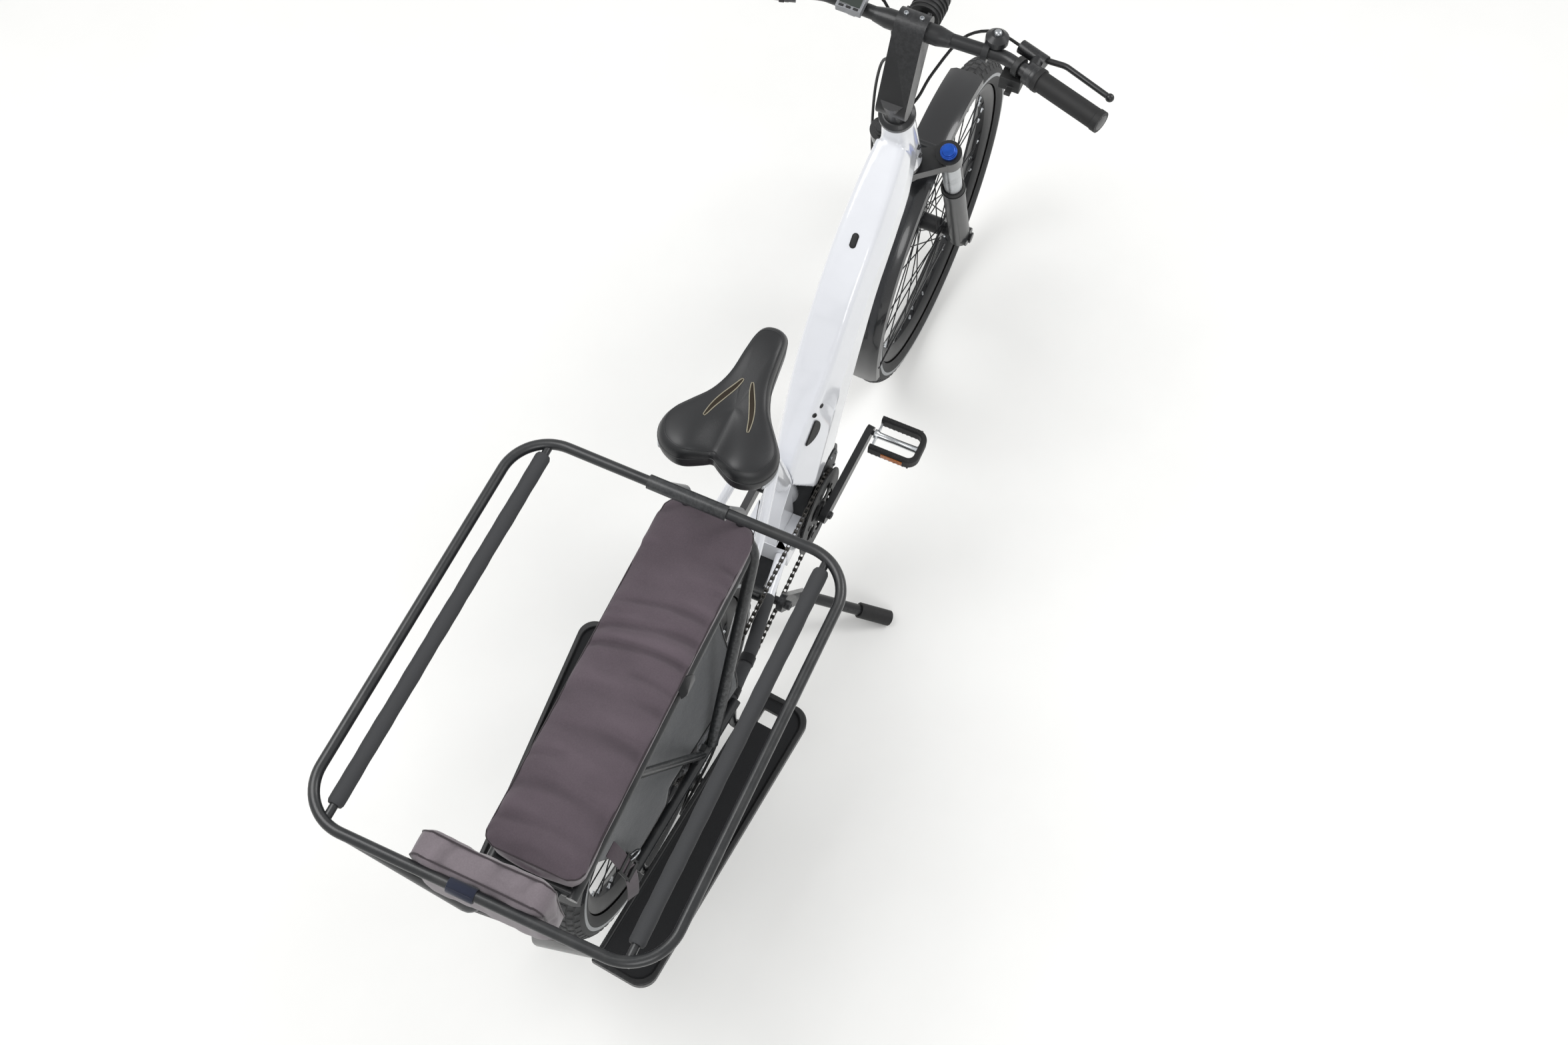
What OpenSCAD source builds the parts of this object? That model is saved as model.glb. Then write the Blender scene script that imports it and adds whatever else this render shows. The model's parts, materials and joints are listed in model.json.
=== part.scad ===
// Long-tail electric cargo bike with a passenger rail, parked on its centre stand.
// X runs forward, Y to the rider's left, Z up; lengths are in millimetres.

/* [Wheels] */
// Radius of the inflated tyre
wheel_r = 340; // [320:1:360]
// Width of the tyre
tyre_w = 58; // [48:1:62]
// Height of the tyre above the rim
tyre_h = 50; // [46:1:58]
// Width of the rim
rim_w = 34; // [28:1:40]
// Distance between the wheel axles
wheelbase = 1229; // [1200:1:1260]
// Number of spokes in a wheel
spoke_count = 36; // [24:4:40]
// Diameter of a spoke
spoke_d = 2.4; // [1.8:0.1:3]
// Radius of a brake disc
disc_r = 90; // [80:1:92]

/* [Frame] */
// Height of the bottom bracket above the ground
bb_z = 305; // [295:1:315]
// Bottom bracket to rear axle, level
rear_length = 556; // [545:1:575]
// Angle of the steering axis from level
head_angle = 68; // [66:0.5:70]
// Angle of the seat tube from level
seat_angle = 71; // [69:0.5:73]
// Length of the seat tube above the bottom bracket
seat_tube_l = 470; // [440:1:500]
// Diameter of the head tube
head_tube_d = 56; // [52:1:62]
// Diameter of the seat tube
seat_tube_d = 40; // [36:1:44]
// Diameter of a chain stay
stay_d = 22; // [18:1:24]
// Width of the flat top of the down tube
tube_top_w = 68; // [56:1:74]
// Widest part of the down tube
tube_w = 90; // [80:1:96]

/* [Fork and cockpit] */
// Wheel axle ahead of the steering axis
fork_offset = 40; // [34:1:46]
// Axle to the seat of the fork crown
fork_l = 480; // [470:1:490]
// Steering axis to the middle of a fork leg
leg_y = 62; // [60:1:66]
// Diameter of an upper fork tube
stanchion_d = 34; // [30:1:36]
// Diameter of a lower fork leg
lower_d = 42; // [40:1:44]
// Height of the handlebar above the top bearing, along the steering axis
bar_rise = 134; // [120:1:150]
// Handlebar ahead of the steering axis
bar_reach = 90; // [75:1:100]
// Half width of the handlebar over its grips
bar_half_w = 325; // [310:1:340]
// Diameter of a handlebar grip
grip_d = 33; // [30:1:36]

/* [Drive] */
// Length of a crank arm
crank_l = 170; // [160:1:175]
// Angle of the right crank above level
crank_angle = 26; // [20:1:32]
// Pitch radius of the chainring
ring_r = 78; // [74:1:82]
// Pitch radius of the sprocket in use
sprocket_r = 38; // [32:1:42]
// Chain line, from the middle of the bike
chain_y = 50; // [48:0.5:52]
// Length of a pedal, fore and aft
pedal_l = 78; // [70:1:84]
// Width of a pedal
pedal_w = 98; // [90:1:105]

/* [Carrier] */
// Diameter of the passenger rail's tube
rail_d = 16; // [14:0.5:20]
// Half width of the rail to the middle of its tube
rail_half_w = 261; // [250:1:270]
// Height of the rail
rail_z = 974; // [960:1:990]
// Bottom bracket to the rail's front bar
rail_front = 398; // [390:1:406]
// Length of the rail between the middles of its bars
rail_l = 632; // [610:1:640]
// Bend radius of the rail's corners
rail_bend = 70; // [60:1:90]
// Diameter of the foam on the inner bars
foam_d = 23; // [20:0.5:26]
// Height of the carrier's top rails
deck_z = 730; // [722:1:738]
// Diameter of the carrier's tubes
rack_d = 18; // [16:0.5:20]
// Length of the seat cushion
cushion_l = 565; // [540:1:580]
// Width of the seat cushion
cushion_w = 160; // [150:1:170]
// Thickness of the seat cushion
cushion_t = 52; // [40:1:60]
// Height of a footboard's top face
board_z = 366; // [360:1:372]
// Length of a footboard
board_l = 540; // [520:1:560]
// Width of a footboard
board_w = 104; // [96:1:112]

/* [Stand] */
// Bottom bracket back to the stand's pivot
stand_back = 185; // [182:1:190]
// Height of the stand's pivot
stand_z = 272; // [266:1:276]
// Half width between the stand's feet
stand_half_w = 218; // [210:1:224]
// Diameter of a stand leg
stand_leg_d = 22; // [20:0.5:24]

/* [Hidden] */
$fn = 64;

// Gap between faces that seat on each other
seat_gap = 0.3;
// Gap between pieces that move past each other
run_gap = 5;

// The steering axis: foot_x and foot_z are the point that is level with the axle along it
front_axle_x = wheelbase - rear_length;
rear_axle_x = -rear_length;
foot_x = front_axle_x - fork_offset * sin(head_angle);
foot_z = wheel_r - fork_offset * cos(head_angle);
head_low = fork_l + 12;
head_high = fork_l + 222;
cover_top = head_high + 17;
bar_along = cover_top + bar_rise;
bar_x = foot_x - bar_along * cos(head_angle) + bar_reach * sin(head_angle);
bar_z = foot_z + bar_along * sin(head_angle) + bar_reach * cos(head_angle);

// Middle of the whole bike lies over the origin
rail_rear = rail_front + rail_l;
bb_x = (rail_rear + rail_d / 2 - front_axle_x - wheel_r) / 2;

// Directions and rigid placing
function unit(v) = v / norm(v);
function mirrored(p) = [p.x, -p.y, p.z];
module placed() { translate([bb_x, 0, 0]) children(); }
module both_sides() {
    children();
    mirror([0, 1, 0]) children();
}
module along(a, b) {
    d = b - a;
    translate(a) rotate([0, acos(d.z / norm(d)), atan2(d.y, d.x)]) children();
}
module rod(a, b, d) { along(a, b) cylinder(d = d, h = norm(b - a)); }
module steer_frame() {
    translate([foot_x, 0, foot_z]) rotate([0, head_angle - 90, 0]) children();
}
module at_wheel(x) { translate([x, 0, wheel_r]) rotate([-90, 0, 0]) children(); }

// A round tube along straight runs, with a true bend of radius r at each inner point
function bend_cut(a, b, c, r) = r * tan(acos(max(-1, min(1, unit(b - a) * unit(c - b)))) / 2);
module tube_bend(a, b, c, r, d) {
    u = unit(b - a);
    v = unit(c - b);
    turn = acos(u * v);
    n = unit(v - u * (u * v));
    start = b - u * bend_cut(a, b, c, r);
    o = start + n * r;
    w = cross(-n, u);
    multmatrix([[-n.x, u.x, w.x, o.x], [-n.y, u.y, w.y, o.y], [-n.z, u.z, w.z, o.z]])
        rotate_extrude(angle = turn) translate([r, 0]) circle(d = d);
}
module bent_tube(p, r, d) {
    last = len(p) - 1;
    for (i = [0 : last - 1]) {
        u = unit(p[i + 1] - p[i]);
        a = i == 0 ? p[0] : p[i] + u * bend_cut(p[i - 1], p[i], p[i + 1], r);
        b = i == last - 1 ? p[last] : p[i + 1] - u * bend_cut(p[i], p[i + 1], p[i + 2], r);
        rod(a, b, d);
    }
    for (i = [1 : 1 : last - 1]) tube_bend(p[i - 1], p[i], p[i + 1], r, d);
}

// A tube with flat sides along a list of points; its cross-section is carried without twist
function heading(q, i) = unit(q[min(i + 1, len(q) - 1)] - q[max(i - 1, 0)]);
function side_of(t) = unit(cross(t, abs(t.z) < 0.9 ? [0, 0, 1] : [1, 0, 0]));
function carry(q, i, s) = i == 0 ? [s] :
    let (done = carry(q, i - 1, s), t = heading(q, i), was = done[i - 1])
    concat(done, [unit(was - t * (was * t))]);
module sweep(q, d, sides) {
    n = len(q);
    s = carry(q, n - 1, side_of(heading(q, 0)));
    points = [for (i = [0 : n - 1]) let (t = heading(q, i), u = s[i], v = cross(t, u))
        for (k = [0 : sides - 1]) q[i] + d / 2 * (u * cos(360 * k / sides) + v * sin(360 * k / sides))];
    walls = [for (i = [0 : n - 2]) for (k = [0 : sides - 1]) let (m = (k + 1) % sides)
        let (a = i * sides, b = a + sides) each [[a + k, b + k, a + m], [b + k, b + m, a + m]]];
    ends = [[for (k = [0 : sides - 1]) k], [for (k = [sides - 1 : -1 : 0]) (n - 1) * sides + k]];
    polyhedron(points, concat(walls, ends));
}
// Straight runs with a round bend of radius r at each inner point
function bend_points(a, b, c, r, steps) = let (
    u = unit(b - a), v = unit(c - b), n = unit(v - u * (u * v)), turn = acos(u * v),
    o = b - u * bend_cut(a, b, c, r) + n * r
) [for (k = [0 : steps]) let (h = turn * k / steps) o - n * r * cos(h) + u * r * sin(h)];
function bent_path(p, r, steps) = let (last = len(p) - 1)
    [p[0], for (i = [1 : 1 : last - 1]) each bend_points(p[i - 1], p[i], p[i + 1], r, steps), p[last]];
module swept_tube(p, r, d, steps = 5, sides = 14) { sweep(bent_path(p, r, steps), d, sides); }

// A soft line through hand-chosen points
function curve_at(p, i, t) = let (
    last = len(p) - 1, a = p[max(i - 1, 0)], b = p[i], c = p[min(i + 1, last)], e = p[min(i + 2, last)]
) 0.5 * (2 * b + (c - a) * t + (2 * a - 5 * b + 4 * c - e) * t * t + (3 * b - a - 3 * c + e) * t * t * t);
function curve(p, steps) = [
    for (i = [0 : len(p) - 2]) for (k = [0 : steps - 1]) curve_at(p, i, k / steps), p[len(p) - 1]
];
module cable(p, d, steps = 4) { sweep(curve(p, steps), d, 8); }

// A shell through cross-sections, each of which runs down one side and back up the other
module loft(rings) {
    n = len(rings);
    m = len(rings[0]);
    points = [for (r = rings) each r];
    walls = [for (i = [0 : n - 2]) for (k = [0 : m - 1]) let (j = (k + 1) % m)
        each [[i * m + k, i * m + j, (i + 1) * m + k], [i * m + j, (i + 1) * m + j, (i + 1) * m + k]]];
    last = (n - 1) * m;
    ends = [for (k = [0 : m / 2 - 2]) let (a = m - 1 - k) each [
        [k, a, k + 1], [k + 1, a, a - 1],
        [last + k, last + k + 1, last + a], [last + k + 1, last + a - 1, last + a]]];
    polyhedron(points, concat(walls, ends));
}

// Wheels
tyre_wall = 5;
rim_r = wheel_r - tyre_h;
tyre_mid_r = wheel_r - tyre_w / 2;
rim_depth = 26;
rim_in_r = rim_r - rim_depth;
front_thru_d = 15;
rear_thru_d = 12;
pin_gap = 0.05;
front_drop_y = 50;
rear_drop_y = 70;
front_disc_y = 34;
rear_disc_y = 55;
disc_t = 1.8;
lacing = 58;
flange_t = 3;
// Hub columns: left flange y, right flange y, flange radius, barrel radius
front_hub_row = [19, 27, 29, 17];
rear_hub_row = [33, 19, 31, 20];

module tyre_shape() {
    rotate_extrude() difference() {
        translate([tyre_mid_r, 0]) circle(d = tyre_w);
        translate([tyre_mid_r, 0]) circle(d = tyre_w - 2 * tyre_wall);
        translate([0, -tyre_w]) square([rim_r + seat_gap, 2 * tyre_w]);
    }
}
module rim_shape() {
    lip = 3;
    rotate_extrude() polygon([
        [rim_r, -rim_w / 2], [rim_r, lip - rim_w / 2], [rim_r - 8, 2 * lip - rim_w / 2],
        [rim_r - 8, rim_w / 2 - 2 * lip], [rim_r, rim_w / 2 - lip], [rim_r, rim_w / 2],
        [rim_r - 10, rim_w / 2], [rim_in_r + 2, rim_w / 4], [rim_in_r, rim_w / 5],
        [rim_in_r, -rim_w / 5], [rim_in_r + 2, -rim_w / 4], [rim_r - 10, -rim_w / 2]
    ]);
}
module spoke_set(row) {
    step = 720 / spoke_count;
    for (side = [-1, 1]) for (k = [0 : spoke_count / 2 - 1]) {
        lead = k % 2 == 0 ? 1 : -1;
        flange_y = side > 0 ? row[0] : -row[1];
        hub_a = k * step + (side > 0 ? step / 2 : 0);
        rim_a = hub_a + lead * lacing;
        out = lead * (flange_t / 2 + spoke_d / 2 + 0.4);
        r = row[2] - 3;
        rod([r * cos(hub_a), r * sin(hub_a), flange_y + out],
            [(rim_in_r + 2) * cos(rim_a), (rim_in_r + 2) * sin(rim_a), side * 2.5], spoke_d);
    }
}
module hub_shape(row, drop_y, bore_d) {
    difference() {
        union() {
            for (y = [row[0], -row[1]]) translate([0, 0, y - flange_t / 2])
                cylinder(r = row[2], h = flange_t);
            translate([0, 0, -row[1]]) cylinder(r = row[3], h = row[0] + row[1]);
            translate([0, 0, seat_gap - drop_y]) cylinder(r = 12, h = 2 * (drop_y - seat_gap));
        }
        translate([0, 0, -drop_y - 1]) cylinder(d = bore_d + 2 * pin_gap, h = 2 * drop_y + 2);
    }
}
module disc_shape(y, bore_r) {
    arms = 6;
    holes = 18;
    band = 17;
    translate([0, 0, y - disc_t / 2]) linear_extrude(disc_t) {
        difference() {
            circle(r = disc_r);
            circle(r = disc_r - band);
            for (k = [0 : holes - 1]) rotate(k * 360 / holes)
                translate([disc_r - band / 2 + (k % 2 == 0 ? 3 : -3), 0]) circle(d = 6);
        }
        difference() {
            union() {
                circle(r = bore_r + 11);
                for (k = [0 : arms - 1]) rotate(k * 360 / arms)
                    translate([bore_r + 4, -4]) square([disc_r - band - bore_r - 2, 8]);
            }
            circle(r = bore_r);
        }
    }
}
disc_bore_r = 12 + seat_gap;
module front_tyre() { color("#2b2b2b") placed() at_wheel(front_axle_x) tyre_shape(); }
module rear_tyre() { color("#2b2b2b") placed() at_wheel(rear_axle_x) tyre_shape(); }
module front_rim() { color("#1c1c1c") placed() at_wheel(front_axle_x) rim_shape(); }
module rear_rim() { color("#1c1c1c") placed() at_wheel(rear_axle_x) rim_shape(); }
module front_spokes() { color("#333333") placed() at_wheel(front_axle_x) spoke_set(front_hub_row); }
module rear_spokes() { color("#333333") placed() at_wheel(rear_axle_x) spoke_set(rear_hub_row); }
module front_hub() {
    color("#202020") placed() at_wheel(front_axle_x) hub_shape(front_hub_row, front_drop_y, front_thru_d);
}
module rear_hub() {
    color("#202020") placed() at_wheel(rear_axle_x) hub_shape(rear_hub_row, rear_drop_y, rear_thru_d);
}
module front_disc() {
    color("silver") placed() at_wheel(front_axle_x) disc_shape(front_disc_y, disc_bore_r);
}
module rear_disc() {
    color("silver") placed() at_wheel(rear_axle_x) disc_shape(rear_disc_y, disc_bore_r);
}

// Drive: the chain is a fixed loop round the chainring, one sprocket and two guide wheels
chain_pitch = 12.7;
chain_h = 8;
chain_w = 6;
tooth_gap = 0.8;
guide_r = 21;
guide_at = [rear_axle_x - 6, wheel_r - 78];
tension_at = [rear_axle_x + 30, wheel_r - 152];
// Loop columns: centre, pitch radius, turning sense
loop_rows = [
    [[0, bb_z], ring_r, -1], [tension_at, guide_r, -1], [guide_at, guide_r, 1],
    [[rear_axle_x, wheel_r], sprocket_r, -1]
];
function run_heading(a, b) = let (d = b[0] - a[0])
    atan2(d.y, d.x) + asin((a[2] * a[1] - b[2] * b[1]) / norm(d));
function touch(row, h) = row[0] + row[2] * row[1] * [sin(h), -cos(h)];
function turn_between(h0, h1, sense) = sense * ((sense * (h1 - h0) % 360 + 360) % 360);
function chain_line() = [for (i = [0 : len(loop_rows) - 1]) let (
        n = len(loop_rows), row = loop_rows[i],
        last = loop_rows[(i + n - 1) % n], next = loop_rows[(i + 1) % n],
        h0 = run_heading(last, row), h1 = run_heading(row, next), turn = turn_between(h0, h1, row[2]),
        arcs = max(2, 2 * round(abs(turn) * PI / 180 * row[1] / chain_pitch)),
        a = touch(row, h1), b = touch(next, h1), runs = max(2, 2 * round(norm(b - a) / chain_pitch))
    ) each concat(
        [for (k = [0 : arcs - 1]) [touch(row, h0 + turn * k / arcs), h0 + turn * k / arcs]],
        [for (k = [0 : runs - 1]) [a + (b - a) * k / runs, h1]])];
module chain() {
    q = chain_line();
    n = len(q);
    points = [for (i = [0 : n - 1]) let (
            up = [-sin(q[i][1]), cos(q[i][1])], pinned = i % 2 == 0, outer = floor(i / 2) % 2 == 0,
            h = pinned ? chain_h / 2 : chain_h / 2 - 1.2, w = outer ? chain_w / 2 : chain_w / 2 - 0.9
        ) for (c = [[-h, -w], [h, -w], [h, w], [-h, w]])
            [q[i][0].x + c[0] * up.x, c[1] - chain_y, q[i][0].y + c[0] * up.y]];
    walls = [for (i = [0 : n - 1]) for (k = [0 : 3]) let (j = (i + 1) % n, m = (k + 1) % 4)
        each [[i * 4 + k, i * 4 + m, j * 4 + k], [i * 4 + m, j * 4 + m, j * 4 + k]]];
    color("#3a3a3a") placed() polyhedron(points, walls);
}
module toothed(r, t) {
    teeth = round(2 * PI * r / chain_pitch);
    tip = r - chain_h / 2 - tooth_gap;
    linear_extrude(t) polygon([for (k = [0 : teeth - 1]) each [
        tip * [cos(360 * k / teeth), sin(360 * k / teeth)],
        (tip - 4) * [cos(360 * (k + 0.35) / teeth), sin(360 * (k + 0.35) / teeth)],
        (tip - 4) * [cos(360 * (k + 0.65) / teeth), sin(360 * (k + 0.65) / teeth)]]]);
}
sprockets = 9;
sprocket_in_use = 3;
sprocket_step_r = 6.2;
sprocket_step_y = 3.9;
sprocket_t = 1.8;
cassette_bore_r = 12 + seat_gap;
module cassette() {
    color("#8d8d90") placed() at_wheel(rear_axle_x) difference() {
        union() {
            for (i = [0 : sprockets - 1]) let (k = i - sprocket_in_use)
                translate([0, 0, k * sprocket_step_y - chain_y - sprocket_t / 2])
                    toothed(sprocket_r + k * sprocket_step_r, sprocket_t);
            translate([0, 0, -sprocket_in_use * sprocket_step_y - chain_y - 2])
                cylinder(r = cassette_bore_r + 2, h = (sprockets - 1) * sprocket_step_y + 4);
        }
        translate([0, 0, -rear_drop_y]) cylinder(r = cassette_bore_r, h = rear_drop_y);
    }
}

// Cranks, chainring and pedals
spindle_d = 20;
crank_boss_y = 63;
crank_tip_y = 80;
crank_t = 13;
crank_boss_d = 36;
crank_eye_d = 27;
pedal_pin_d = 9;
pedal_in_y = crank_tip_y + crank_t + 4;
pedal_mid_y = pedal_in_y + pedal_w / 2;
pedal_bar = 13;
pedal_h = 24;
guard_t = 2.5;
guard_gap = 2.5;
pedal_at = crank_l * [cos(crank_angle), sin(crank_angle)];

// Two round ends and the straight sides that touch both
arc_steps = 14;
module link_2d(l, r1, r2) {
    a = acos((r1 - r2) / l);
    polygon([
        for (k = [0 : arc_steps]) let (h = a + (360 - 2 * a) * k / arc_steps) r1 * [cos(h), sin(h)],
        for (k = [0 : arc_steps]) let (h = 2 * a * k / arc_steps - a) [l, 0] + r2 * [cos(h), sin(h)]
    ]);
}
module crank_arm() {
    lean = atan((crank_tip_y - crank_boss_y) / crank_l);
    rotate([0, -crank_angle, 0]) {
        translate([0, crank_boss_y, 0]) rotate([90, 0, lean]) mirror([0, 0, 1])
            linear_extrude(crank_t) link_2d(crank_l, crank_boss_d / 2, crank_eye_d / 2);
        translate([crank_l, 0, 0]) rotate([-90, 0, 0])
            translate([0, 0, crank_tip_y + 2]) cylinder(d = pedal_pin_d, h = pedal_w);
    }
}
module cranks() {
    color("#1d1d1d") placed() translate([0, 0, bb_z]) {
        rotate([-90, 0, 0]) translate([0, 0, -crank_boss_y - 2])
            cylinder(d = spindle_d, h = 2 * crank_boss_y + 4);
        mirror([0, 1, 0]) crank_arm();
        rotate([0, 180, 0]) crank_arm();
    }
}
ring_t = 3;
boss_step = 2.5;
module chainring() {
    arms = 5;
    spin = [90, 0, 0];
    color("#262626") placed() translate([0, 0, bb_z]) rotate(spin) difference() {
        union() {
            translate([0, 0, chain_y - ring_t / 2]) difference() {
                toothed(ring_r, ring_t);
                translate([0, 0, -1]) cylinder(r = ring_r - 22, h = ring_t + 2);
            }
            translate([0, 0, chain_y - ring_t / 2]) linear_extrude(ring_t) for (k = [0 : arms - 1])
                rotate(k * 360 / arms + 18) translate([12, -8]) square([ring_r - 30, 16]);
            translate([0, 0, chain_y - 4]) cylinder(r = 20, h = crank_boss_y - chain_y + 4 - boss_step);
            guard_plate();
        }
        translate([0, 0, chain_y - 10]) cylinder(d = spindle_d + 2 * pin_gap, h = 30);
    }
}
// The guard beside the chain has windows between its arms
module guard_plate() {
    windows = 5;
    y0 = chain_y + chain_w / 2 + guard_gap;
    translate([0, 0, y0]) linear_extrude(guard_t) difference() {
        circle(r = ring_r + 9);
        for (k = [0 : windows - 1]) rotate(k * 360 / windows + 54)
            translate([ring_r * 0.55, 0]) circle(r = 17);
    }
    for (k = [0 : windows - 1]) rotate(k * 360 / windows + 18)
        translate([ring_r - 26, 0, chain_y]) cylinder(d = 11, h = y0 - chain_y + guard_t + 1.5);
}
module pedal_shape() {
    bars_y = [pedal_in_y + 4, pedal_in_y + pedal_w - 12];
    difference() {
        union() {
            translate([0, pedal_in_y, 0]) rotate([-90, 0, 0]) cylinder(d = 19, h = pedal_w - 4);
            for (s = [-1, 1]) translate([s * (pedal_l - pedal_bar) / 2, pedal_mid_y, 0])
                cube([pedal_bar, pedal_w, pedal_h], center = true);
            for (y = bars_y) translate([0, y + 4, 0]) cube([pedal_l, 8, pedal_h - 8], center = true);
            for (s = [-1, 1]) translate([s * 22, pedal_mid_y, 0]) cube([4, pedal_w - 20, 12], center = true);
        }
        translate([0, pedal_in_y - 1, 0]) rotate([-90, 0, 0])
            cylinder(d = pedal_pin_d + 2 * pin_gap, h = crank_tip_y + 2 + pedal_w - pedal_in_y + 2);
    }
}
module pedal_right() {
    color("#9a9a9c") placed() translate([pedal_at.x, 0, bb_z + pedal_at.y]) mirror([0, 1, 0]) pedal_shape();
}
module pedal_left() {
    color("#9a9a9c") placed() translate([-pedal_at.x, 0, bb_z - pedal_at.y]) pedal_shape();
}

// Motor between the cranks
motor_w = 82;
motor_r = 58;
motor_lobe = [64, 44, 50];
module motor_outline(grow) {
    d = [motor_lobe[0], motor_lobe[1]];
    rotate(atan2(d.y, d.x)) link_2d(norm(d), motor_r + grow, motor_lobe[2] + grow);
}
module motor_block(grow, w) {
    translate([0, w / 2, bb_z]) rotate([90, 0, 0]) linear_extrude(w) motor_outline(grow);
}
module motor() {
    color("#2a2b2d") placed() difference() {
        union() {
            motor_block(0, motor_w);
            motor_block(-9, motor_w + 8);
        }
        translate([0, -motor_w, bb_z]) rotate([-90, 0, 0])
            cylinder(d = spindle_d + 2 * pin_gap, h = 2 * motor_w);
    }
}

// Frame: the down tube is a loft on the line from the bottom bracket to the head tube
head_mid = (head_low + head_high) / 2;
head_at = [foot_x - head_mid * cos(head_angle), foot_z + head_mid * sin(head_angle)];
seat_dir = [-cos(seat_angle), 0, sin(seat_angle)];
seat_top = [0, 0, bb_z] + seat_tube_l * seat_dir;
post_d = 31.6;
// Columns: top share of the line, top offset, bottom share, bottom offset, half top, half width
tube_rows = [
    [1.01, 76, 0.945, -56, tube_top_w / 2 - 8, tube_w / 2 - 16],
    [0.92, 100, 0.858, -38, tube_top_w / 2 - 3, tube_w / 2 - 5],
    [0.785, 130, 0.741, -5, tube_top_w / 2, tube_w / 2],
    [0.648, 150, 0.619, 3, tube_top_w / 2, tube_w / 2],
    [0.5, 160, 0.435, -20, tube_top_w / 2, tube_w / 2],
    [0.366, 163, 0.268, -48, tube_top_w / 2 - 5, tube_w / 2],
    [0.236, 160, 0.138, -75, tube_top_w / 2 - 12, tube_w / 2],
    [0.139, 146, 0.03, -98, tube_top_w / 2 - 15, tube_w / 2]
];
function tube_ring(row) = let (
    d = head_at - [0, bb_z], n = unit([-d.y, d.x]),
    top = [0, bb_z] + d * row[0] + n * row[1], low = [0, bb_z] + d * row[2] + n * row[3],
    half = [[row[4] - 6, 0], [row[4], 0.04], [row[5], 0.36],
        [row[5], 0.74], [row[5] - 9, 0.94], [row[5] - 18, 1]]
) [for (h = half) let (q = top + (low - top) * h[1]) [q.x, h[0], q.y],
   for (i = [5 : -1 : 0]) let (h = half[i], q = top + (low - top) * h[1]) [q.x, -h[0], q.y]];
yoke = [-120, -40];
yoke_half_w = 46;
module yoke_block() {
    translate([yoke[0], -yoke_half_w, bb_z - 20]) cube([yoke[1] - yoke[0], 2 * yoke_half_w, 58]);
    translate([0, 22, 0]) rotate([90, 0, 0]) linear_extrude(44) polygon([
        [yoke[0], bb_z + 36], [yoke[0] + 20, bb_z + 120], [yoke[1] - 20, bb_z + 170], [yoke[1], bb_z + 36]]);
}
module seat_line() { along([0, 0, bb_z], seat_top) children(); }
module head_tube() {
    color("#f2f3f5") placed() steer_frame() translate([0, 0, head_low]) difference() {
        cylinder(d = head_tube_d, h = head_high - head_low);
        translate([0, 0, -1]) cylinder(d = steerer_d + 2 * run_gap, h = head_high - head_low + 2);
    }
}
module down_tube() {
    color("#f2f3f5") placed() difference() {
        loft([for (row = curve(tube_rows, 3)) tube_ring(row)]);
        motor_block(seat_gap, motor_w + 40);
        seat_line() {
            cylinder(d = seat_tube_d + 2 * pin_gap, h = seat_tube_l);
            translate([seat_tube_d / 2, -tube_w, -seat_tube_l])
                cube([seat_tube_l, 2 * tube_w, 3 * seat_tube_l]);
        }
        yoke_block();
        steer_frame() translate([0, 0, head_low - 60])
            cylinder(d = head_tube_d + 2 * pin_gap, h = head_high - head_low + 120);
    }
}
module seat_tube() {
    color("#f2f3f5") placed() difference() {
        union() {
            seat_line() cylinder(d = seat_tube_d, h = seat_tube_l);
            seat_line() translate([0, 0, seat_tube_l - 34]) cylinder(d = seat_tube_d + 8, h = 28);
            yoke_block();
        }
        motor_block(seat_gap, motor_w + 40);
        seat_line() translate([0, 0, seat_tube_l - 160]) cylinder(d = post_d + 2 * pin_gap, h = 200);
    }
}

// Rear triangle with the dropouts and the fixed rear axle
drop_t = 8;
stay_out = rear_drop_y + drop_t / 2;
chain_stay = [[yoke[0] - seat_gap, 34, bb_z + 11], [-205, 47, bb_z + 16], [-330, 66, bb_z + 22],
    [rear_axle_x + 46, stay_out, wheel_r + 2]];
seat_stay_d = 16;
seat_stay_low = [rear_axle_x + 22, stay_out, wheel_r + 36];
seat_stay_top = [0, 0, bb_z] + 385 * seat_dir + [-seat_tube_d / 2 + 4, 24, 0];
module dropout() {
    translate([rear_axle_x, rear_drop_y + drop_t, wheel_r]) rotate([90, 0, 0]) linear_extrude(drop_t) {
        circle(r = 21);
        polygon([[-6, 20], [14, 52], [34, 44], [62, 14], [62, -12], [8, -19]]);
    }
}
module rear_stays() {
    color("#f2f3f5") placed() difference() {
        union() {
            both_sides() {
                swept_tube(chain_stay, 120, stay_d);
                dropout();
                swept_tube([seat_stay_top, seat_stay_top + [-110, 22, -66], seat_stay_low], 90, seat_stay_d);
            }
            translate([rear_axle_x, -rear_drop_y - drop_t - 6, wheel_r]) rotate([-90, 0, 0])
                cylinder(d = rear_thru_d, h = 2 * (rear_drop_y + drop_t + 6));
            rod(mirrored(seat_stay_top), seat_stay_top, seat_stay_d - 3);
        }
        seat_line() cylinder(d = seat_tube_d + 2 * pin_gap, h = seat_tube_l);
        yoke_block();
    }
}

// Saddle on its post
post_l = 664;
post_head = [0, 0, bb_z] + post_l * seat_dir;
saddle_nose = [post_head.x + 125, post_head.z + 78];
saddle_mid = 150;
// Right half of the saddle from nose to tail: distance back from the nose, half width
saddle_half = [
    [0, 3], [4, 14], [18, 23], [52, 27], [96, 32], [134, 46], [163, 67], [188, 84],
    [212, 88], [235, 79], [248, 60], [249, 38], [241, 16], [237, 3]
];
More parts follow.
